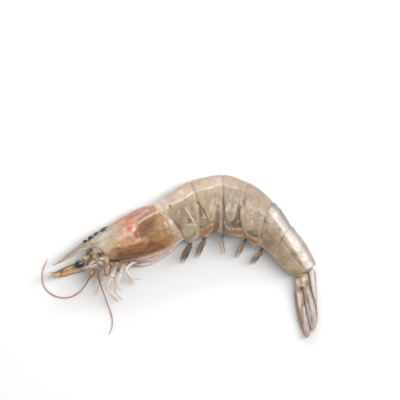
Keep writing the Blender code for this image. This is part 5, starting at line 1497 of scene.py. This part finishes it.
# ==================================================================
# Swimmerets
# ==================================================================
def swimmerets():
    plan = (
        (0.60, (188.6, 245.0), (179.6, 262.4)),
        (1.45, (202.4, 241.0), (194.4, 257.2)),
        (2.42, (219.6, 238.6), (221.4, 253.4)),
        (3.42, (242.4, 242.6), (234.2, 257.2)),
        (4.45, (259.4, 251.8), (250.2, 263.4)),
    )
    # the swimmerets' own brown colours, darkened with painted shade as they sit under the belly
    shade_darkened_tones = ((100, 86, 68), (122, 104, 92), (182, 156, 146), (160, 134, 114), (136, 112, 94))
    for number, ((u, knee, tip), tone) in enumerate(zip(plan, shade_darkened_tones), start=1):
        back, edge, down, along, half, bow, span = (v[0] for v in TAIL.read(np.array([u])))
        mid = half - 0.22
        root = back + (edge - back) * BELLY + down * 3.4 + along * bow * 0.6
        for side, sign in (("left", 1), ("right", -1)):
            rng = np.random.default_rng(number * 10 + (sign > 0))
            off = sign * (half * 0.34)
            lag = 0.0 if sign > 0 else 3.0
            a = np.array([root[0], root[1], mid + off])
            b = np.array([root[0] * 0.4 + knee[0] * 0.6 + lag * 0.3, root[1] * 0.4 + knee[1] * 0.6, mid + off * 1.05])
            c = np.array([knee[0] + lag * 0.8, knee[1], mid + off])
            d = np.array([knee[0] * 0.45 + tip[0] * 0.55 + lag, knee[1] * 0.45 + tip[1] * 0.55, mid + off * 0.95 - 0.5])
            e = np.array([tip[0] + lag, tip[1], mid + off * 0.9 - 1.2])
            fat = (1.0, 0.68, 0.46, 0.6, 0.72)[number - 1]
            soup = Soup()
            path = smooth([a - (0, 0.6, 0), b, c], 60)
            t = np.linspace(0, 1, 60)
            w = (1.9, 1.35, 1.0, 1.15, 1.3)[number - 1] * (1 - 0.25 * t) * (1 - 0.18 * np.exp(-((t - 0.3) / 0.05) ** 2))
            p, f, tt, ang = sweep(path, w, w * 0.66, 20)
            paint = Paint((len(p),), tone)
            paint.mix(np.exp(-((np.cos(ang) - 0.9) / 0.25) ** 2), (196, 172, 150), 0.5)
            # painted shade: the whole stem darkened
            paint.shade(0.14 * fbm(p, 3, 3, number) - 0.2)
            soup.put(p, f, paint.c, 0.7)
            # two fringed leaves on each
            for leaf, (spread, rise) in enumerate(((1.0, 0.35), (-1.5, -0.5), (0.1, 0.9))):
                shift_ = np.array([spread * (1.0, 0.9, 0.45, 0.8, 0.9)[number - 1], 0.25 * abs(spread), rise * sign])
                p, f, tt, ss = blade([c + shift_ * 0.2, (c + d) / 2 + shift_ * 0.7, d + shift_, e + shift_ * 0.9 - (e - d) * (0.0, 0.34, 0.16)[leaf]], [(0.7 * fat, 0.7 * fat), (1.15 * fat, 1.1 * fat), (1.3 * fat, 1.2 * fat), (0.9 * fat, 0.9 * fat), (0.45 * fat, 0.45 * fat), (0.15, 0.15)],
                                     0.5, (0.15 * spread, 0, 1), n=50, m=12, ribs=((0.0, 0.15, 0.2),), seed=number + leaf)
                paint = Paint((len(p),), tone)
                paint.mix(step(0.5, 0.85, np.abs(ss)), tuple(min(226, v * 1.6) for v in tone), 0.8)
                # painted shade: the whole leaf darkened
                paint.shade(0.14 * fbm(p, 3, 3, number + 3) - 0.2)
                soup.put(p, f, paint.c * (1.0 if leaf == 0 else 1.16), 0.5)
                m_ = d + shift_
                for i in range(22):
                    k = i / 21
                    root_ = (c + (d - c) * k) + shift_ * k if k < 0.5 else m_ + (e + shift_ * 0.8 - m_) * (k - 0.5) * 2
                    sgn = 1 if i % 2 else -1
                    wid = 1.3 * math.sin(math.pi * min(0.95, 0.25 + 0.7 * k))
                    root_ = root_ + np.array([sgn * wid, 0, 0])
                    bristle(soup, root_, root_ + np.array([sgn * (0.8 + 0.4 * rng.random()), 1.5 + 0.5 * rng.random(), 0.2 * rng.normal()]), 0.1,
                            tuple(min(214, v * 1.2) for v in tone))
            obj = soup.make(f"swimmeret_{side}_{number}_paddle", MAT_LIMB)
            place(obj, "swimmeret", f"swimmeret_{side}_{number}")


# ==================================================================
# Tail fan
# ==================================================================
def tail_fan():
    z = TAIL_MID
    # telson: a long three-sided wedge with a groove along its back
    n, sides = 110, 28
    path = smooth([(311.4, 268.6, 7.4), (312.6, 276, 7.3), (313.6, 286, 6.9), (315.4, 298, 6.2), (317.3, 312.0, 5.5)], n)
    t = np.linspace(0, 1, n)
    w = np.interp(t, (0, 0.12, 0.45, 0.8, 1.0), (3.9, 4.1, 3.1, 1.35, 0.25))
    h = np.interp(t, (0, 0.12, 0.45, 0.8, 1.0), (4.8, 4.7, 3.2, 1.5, 0.3))
    p, f, tt, a = sweep(path, w, h, sides, bumps=lambda s, v: -0.10 * np.exp(-((v - 0.05) / 0.25) ** 2) + 0.05 * np.cos(3 * v))
    paint = Paint((len(p),), (214, 204, 195))
    x, y = p[:, 0], p[:, 1]
    paint.mix(line(x, y, [(308.4, 272), (309.8, 281), (312.0, 291), (315.0, 303)], 0.7), (170, 154, 150), 0.8)
    # painted shade: a darker line along the right edge
    paint.mix(line(x, y, [(315.0, 272), (316.2, 284), (317.0, 296), (317.8, 308)], 0.8), (158, 134, 116), 0.75)
    # painted highlight: a white line along the middle of the back
    paint.mix(line(x, y, [(312.6, 274), (313.6, 286), (315.2, 297)], 0.8), (244, 240, 236), 0.7)
    paint.mix(step(0.75, 1.0, tt), (176, 160, 150), 0.5)
    paint.mix(oval(x, y, 313.5, 268.0, 2.4, 1.2, -30, 0.5), (150, 136, 124), 0.5)
    paint.shade(0.06 * fbm(p, 4, 3, 77) - 0.02)
    soup = Soup()
    soup.put(p, f, paint.c, 0.35)
    for k in range(16):
        s = 0.35 + 0.6 * k / 15
        c = path[int(s * (n - 1))]
        for sgn in (1, -1):
            bristle(soup, c + (0, 0, sgn * h[int(s * (n - 1))] * 0.8), c + (0.5, 2.8, sgn * (h[int(s * (n - 1))] + 0.6)), 0.12, (214, 190, 176))
    obj = soup.make("telson_wedge", MAT_FAN)
    place(obj, "tail_fan", "telson")

    rng = np.random.default_rng(3)
    for side, sign in (("left", 1), ("right", -1)):
        soup = Soup()
        path = smooth([(302.2, 272.4, z + sign * 2.7), (302.4, 280.0, z + sign * 3.6), (303.6, 291.8, z + sign * 3.5)], 60)
        tq = np.linspace(0, 1, 60)
        wq = np.interp(tq, (0, 0.2, 0.5, 0.82, 1), (4.6, 6.4, 7.0, 7.1, 5.2))
        hq = np.interp(tq, (0, 0.3, 0.75, 1), (1.9, 2.7, 2.3, 1.1))
        p, f, tt, a = sweep(path, wq, hq, 30, bumps=lambda s, v: 0.05 * np.sin(6 * v) * s)
        x, y = p[:, 0], p[:, 1]
        paint = Paint((len(p),), (194, 172, 144))
        paint.mix(oval(x, y, 297.2, 281.6, 2.4, 3.6, 0, 0.7), (222, 208, 190), 0.8)
        paint.mix(oval(x, y, 298.2, 288.4, 2.2, 2.6, 0, 0.6), (186, 170, 132), 0.75)
        paint.mix(oval(x, y, 303.6, 279.6, 2.4, 3.4, -25, 0.7), (224, 208, 184), 0.8)
        paint.mix(oval(x, y, 302.0, 288.6, 2.2, 1.7, 35, 0.8), (92, 60, 42), 0.9)
        paint.mix(oval(x, y, 303.8, 291.6, 1.4, 1.6, 0, 0.8), (120, 82, 56), 0.8)
        paint.mix(line(x, y, [(309.4, 277), (310.6, 283), (311.2, 289)], 0.8), (124, 108, 112), 0.8)
        paint.mix(line(x, y, [(296.0, 277.0), (300.0, 278.0), (302.4, 276.4)], 0.7), (120, 104, 72), 0.7)
        paint.mix(line(x, y, [(299.2, 278.4), (301.4, 282.6), (304.8, 288.6)], 0.6), (112, 92, 74), 0.85)
        paint.mix(line(x, y, [(303.0, 284.4), (305.4, 288.0)], 0.8), (232, 206, 198), 0.8)
        paint.mix(line(x, y, [(305.2, 280.4), (306.4, 285)], 0.6), (132, 108, 92), 0.7)
        paint.mix(oval(x, y, 308.2, 284, 1.6, 4.4, -12, 0.6), (156, 112, 76), 0.8)
        paint.mix(1 - step(0, 0.14, tt), (110, 86, 60), 0.6)
        paint.shade(0.10 * fbm(p, 3, 3, 21) - 0.08)
        soup.put(p, f, paint.c, 0.5)
        obj = soup.make(f"uropod_base_{side}_joint", MAT_FAN)
        place(obj, "tail_base", f"uropod_base_{side}")

        # inner blade
        soup = Soup()
        cz = (4.4, 4.3, 3.9, 3.3, 2.8)
        centre = [(305.4, 285.8, z + sign * (cz[0] + 0.6)), (309.0, 299, z + sign * cz[1]), (312.0, 311, z + sign * cz[2]), (313.6, 322, z + sign * cz[3]), (311.9, 331.4, z + sign * cz[4])]
        widths = [(2.6, 2.6), (3.6, 3.8), (4.6, 4.8), (5.2, 5.2), (5.0, 4.6), (3.8, 3.6), (1.4, 1.4)]
        p, f, t, s = blade(centre, widths, 0.9, (0, 0, sign), n=130, m=34, ribs=((0.05, 0.55, 0.10), (-0.12, -0.25, 0.06)), crown=0.4, jag=0.25, seed=9)
        paint = fan_paint(p, t, s, inner=True)
        soup.put(p, f, paint.c, 0.6)
        fringe(soup, centre, widths, sign, rng)
        obj = soup.make(f"uropod_inner_{side}_blade", MAT_FAN)
        place(obj, "tail_fan", f"uropod_inner_{side}")

        # outer blade
        soup = Soup()
        cz = (2.4, 2.2, 1.7, 1.3, 1.1)
        centre = [(299.0, 287.0, z + sign * cz[0]), (301.4, 303, z + sign * cz[1]), (304.4, 317, z + sign * cz[2]), (306.8, 329, z + sign * cz[3]), (307.2, 338.0, z + sign * cz[4])]
        widths = [(3.6, 3.4), (4.6, 5.2), (5.2, 6.2), (5.2, 6.4), (4.6, 6.2), (3.6, 4.6), (1.8, 1.8)]
        p, f, t, s = blade(centre, widths, 0.9, (0, 0, sign), n=140, m=34, ribs=((-0.35, 0.55, 0.09), (-0.15, -0.25, 0.06), (0.25, 0.25, 0.12)), crown=0.4, jag=0.25, seed=19)
        paint = fan_paint(p, t, s, inner=False)
        soup.put(p, f, paint.c, 0.6)
        fringe(soup, centre, widths, sign, rng)
        obj = soup.make(f"uropod_outer_{side}_blade", MAT_FAN)
        place(obj, "tail_fan", f"uropod_outer_{side}")


def fan_paint(p, t, s, inner):
    x, y = p[:, 0], p[:, 1]
    paint = Paint((len(p),), (196, 180, 172))
    if inner:
        paint.mix(1 - step(294, 306, y + 0.6 * x - 184), (170, 132, 100), 0.6)
        paint.mix(line(x, y, [(307.4, 290), (309.6, 297), (311.2, 303)], 1.1), (216, 202, 174), 0.7)
        # painted shadow in the gap between this blade and the telson
        paint.mix(line(x, y, [(311.0, 288), (313.2, 297), (316.4, 308), (317.6, 314)], 0.9), (92, 66, 26), 0.92)
        paint.mix(line(x, y, [(310.0, 289), (312.0, 297), (314.8, 306)], 0.6), (160, 138, 92), 0.6)
        paint.mix(line(x, y, [(307.6, 298), (309.0, 304), (310.6, 311)], 0.6), (92, 84, 82), 0.85)
        paint.mix(line(x, y, [(311.0, 317), (312.2, 323)], 0.8), (120, 108, 112), 0.8)
        # painted highlight: a pale glossy streak
        paint.mix(oval(x, y, 312.6, 309, 2.0, 8, -12, 0.8), (220, 212, 206), 0.6)
        paint.mix(line(x, y, [(303.6, 298), (305.6, 309), (307.6, 318), (310.6, 329)], 1.0), (80, 70, 72), 0.9)
        paint.mix(line(x, y, [(315.6, 318), (315.4, 325), (312.4, 330.6)], 0.9), (222, 192, 182), 0.7)
        # painted highlight: a pale glossy streak
        paint.mix(oval(x, y, 309.4, 318, 1.8, 8, -12, 0.7), (198, 188, 196), 0.6)
    else:
        # painted highlight: a pale glossy streak along the blade
        paint.mix(line(x, y, [(298.2, 293), (299.4, 301), (301.0, 309)], 1.5), (236, 220, 212), 0.85)
        paint.mix(line(x, y, [(303.4, 290), (303.4, 298), (304.4, 305)], 1.6), (146, 96, 56), 0.9)
        paint.mix(line(x, y, [(301.8, 305), (302.4, 314), (303.4, 324)], 1.0), (150, 118, 92), 0.8)
        # painted highlight: a pale glossy streak
        paint.mix(line(x, y, [(303.8, 308), (305.0, 318), (306.4, 328)], 1.2), (226, 214, 216), 0.75)
        # painted shadow along the left edge of the outer blade
        paint.mix(line(x, y, [(295.8, 292), (297.0, 303), (299.8, 315), (302.2, 326), (304.4, 335)], 0.8), (112, 88, 72), 0.75)
        paint.mix(line(x, y, [(304.6, 300), (306.4, 311), (308.4, 320), (311.0, 330)], 0.7), (96, 84, 84), 0.7)
        paint.mix(oval(x, y, 307.2, 327, 2.6, 7, -6, 0.7), (196, 184, 186), 0.7)
        paint.mix(oval(x, y, 306.8, 337.0, 3.4, 2.4, 0, 0.8), (178, 136, 132), 0.7)
        paint.mix(oval(x, y, 310.6, 333.6, 1.4, 2.6, 15, 0.6), (214, 176, 158), 0.8)
    lines = np.sin(s * 26 + 1.5 * fbm(p, 6, 2, 4))
    paint.shade(0.035 * lines + 0.08 * fbm(p, 4.5, 3, 14) - 0.09)
    return paint


def fringe(soup, centre, widths, sign, rng):
    """The fine hairs round the free end of a blade."""
    route = smooth(centre, 120)
    for i in range(46):
        k = 0.62 + 0.38 * (i // 2) / 22
        idx = min(118, int(k * 119))
        c = route[idx]
        tan = route[idx + 1] - route[idx - 1]
        tan = tan / np.linalg.norm(tan)
        out = np.cross(tan, (0, 0, sign))
        sgn = 1 if i % 2 else -1
        wt = np.linspace(0, 1, len(widths))
        w = np.interp(k, wt, [wd[1 if sgn > 0 else 0] for wd in widths]) * math.sqrt(max(0.03, 1 - max(0, (k - 0.93) / 0.07) ** 2))
        root = c + out * sgn * w * 0.94
        lean = 0.55 + 0.45 * (k - 0.62) / 0.38
        tip = root + (out * sgn * (1 - lean * 0.8) + tan * lean) * (1.7 + 0.6 * rng.random())
        bristle(soup, root, tip, 0.11, (216, 186, 176))


# ==================================================================
# Stage: floor, light, camera
# ==================================================================
def stage():
    scene = bpy.context.scene
    scene.view_settings.view_transform = "Standard"
    scene.view_settings.look = "None"
    mesh = bpy.data.meshes.new("floor")
    s = 3.0
    mesh.from_pydata([(-s, -s, -0.00005), (s, -s, -0.00005), (s, s, -0.00005), (-s, s, -0.00005)], [], [(0, 1, 2, 3)])
    floor = bpy.data.objects.new("floor", mesh)
    scene.collection.objects.link(floor)
    mat, nt, bsdf = new_material("pale_floor")
    n = node(nt, "ShaderNodeTexNoise", Scale=30.0, Detail=3.0)
    c = ramp(nt, n.outputs["Fac"], [(0.3, (0.86, 0.86, 0.86)), (0.7, (0.89, 0.89, 0.89))])
    nt.links.new(c, bsdf.inputs["Base Color"])
    bsdf.inputs["Roughness"].default_value = 0.9
    bsdf.inputs["Specular IOR Level"].default_value = 0.1
    mesh.materials.append(mat)

    world = bpy.data.worlds.new("studio")
    world.use_nodes = True
    bg = world.node_tree.nodes["Background"]
    bg.inputs["Color"].default_value = (1.0, 1.0, 1.0, 1)
    bg.inputs["Strength"].default_value = 0.30
    scene.world = world

    def area(name, where, size, power, look=(0.0, 0.0, 0.005), shape="RECTANGLE", size_y=None, colour=(1, 1, 1)):
        lamp = bpy.data.lights.new(name, "AREA")
        lamp.shape = shape
        lamp.size = size
        lamp.size_y = size_y or size
        lamp.energy = power
        lamp.color = colour
        o = bpy.data.objects.new(name, lamp)
        scene.collection.objects.link(o)
        o.location = where
        o.rotation_mode = "QUATERNION"
        o.rotation_quaternion = (Vector(where) - Vector(look)).to_track_quat("Z", "Y")
        return o

    def ring_light(name, azimuth, zenith, radial, across, power, reach=1.0):
        """An area light at this compass angle (from +X) and angle from straight up."""
        az, ze = math.radians(azimuth), math.radians(zenith)
        where = Vector((math.cos(az) * math.sin(ze), math.sin(az) * math.sin(ze), math.cos(ze))) * reach
        o = area(name, tuple(where), across, power, size_y=radial)
        out = where.normalized()
        x_axis = Vector((-math.sin(az), math.cos(az), 0))
        y_axis = out.cross(x_axis)
        m = Matrix((x_axis, y_axis, out)).transposed()
        o.rotation_quaternion = m.to_quaternion()
        return o

    # a broad soft box over the back, a long strip by the tail, a low strip behind, a soft fill
    ring_light("soft_key", 85, 42, 0.70, 1.00, 2.6)
    ring_light("tail_strip", 20, 33, 1.00, 0.26, 7.6)
    ring_light("back_strip", 97, 59, 0.06, 0.80, 2.2)
    ring_light("soft_fill", 215, 38, 0.9, 0.9, 1.4)

    cam = bpy.data.cameras.new("camera")
    cam.sensor_width = 36.0
    distance = 2.0
    height = 0.008
    # the picture is 400 sheet units wide
    cam.lens = 36.0 * (distance - height) / (400 * SHEET)
    cam.clip_start, cam.clip_end = 0.1, 10
    o = bpy.data.objects.new("camera", cam)
    scene.collection.objects.link(o)
    o.location = ((200 - CENTRE[0]) * SHEET, (CENTRE[1] - 200) * SHEET, distance)
    o.rotation_euler = (0, 0, 0)
    scene.camera = o


stage()
abdomen()
carapace()
rostrum()
eyes()
head_front()
scales_and_feelers()
feelers()
legs()
swimmerets()
tail_fan()
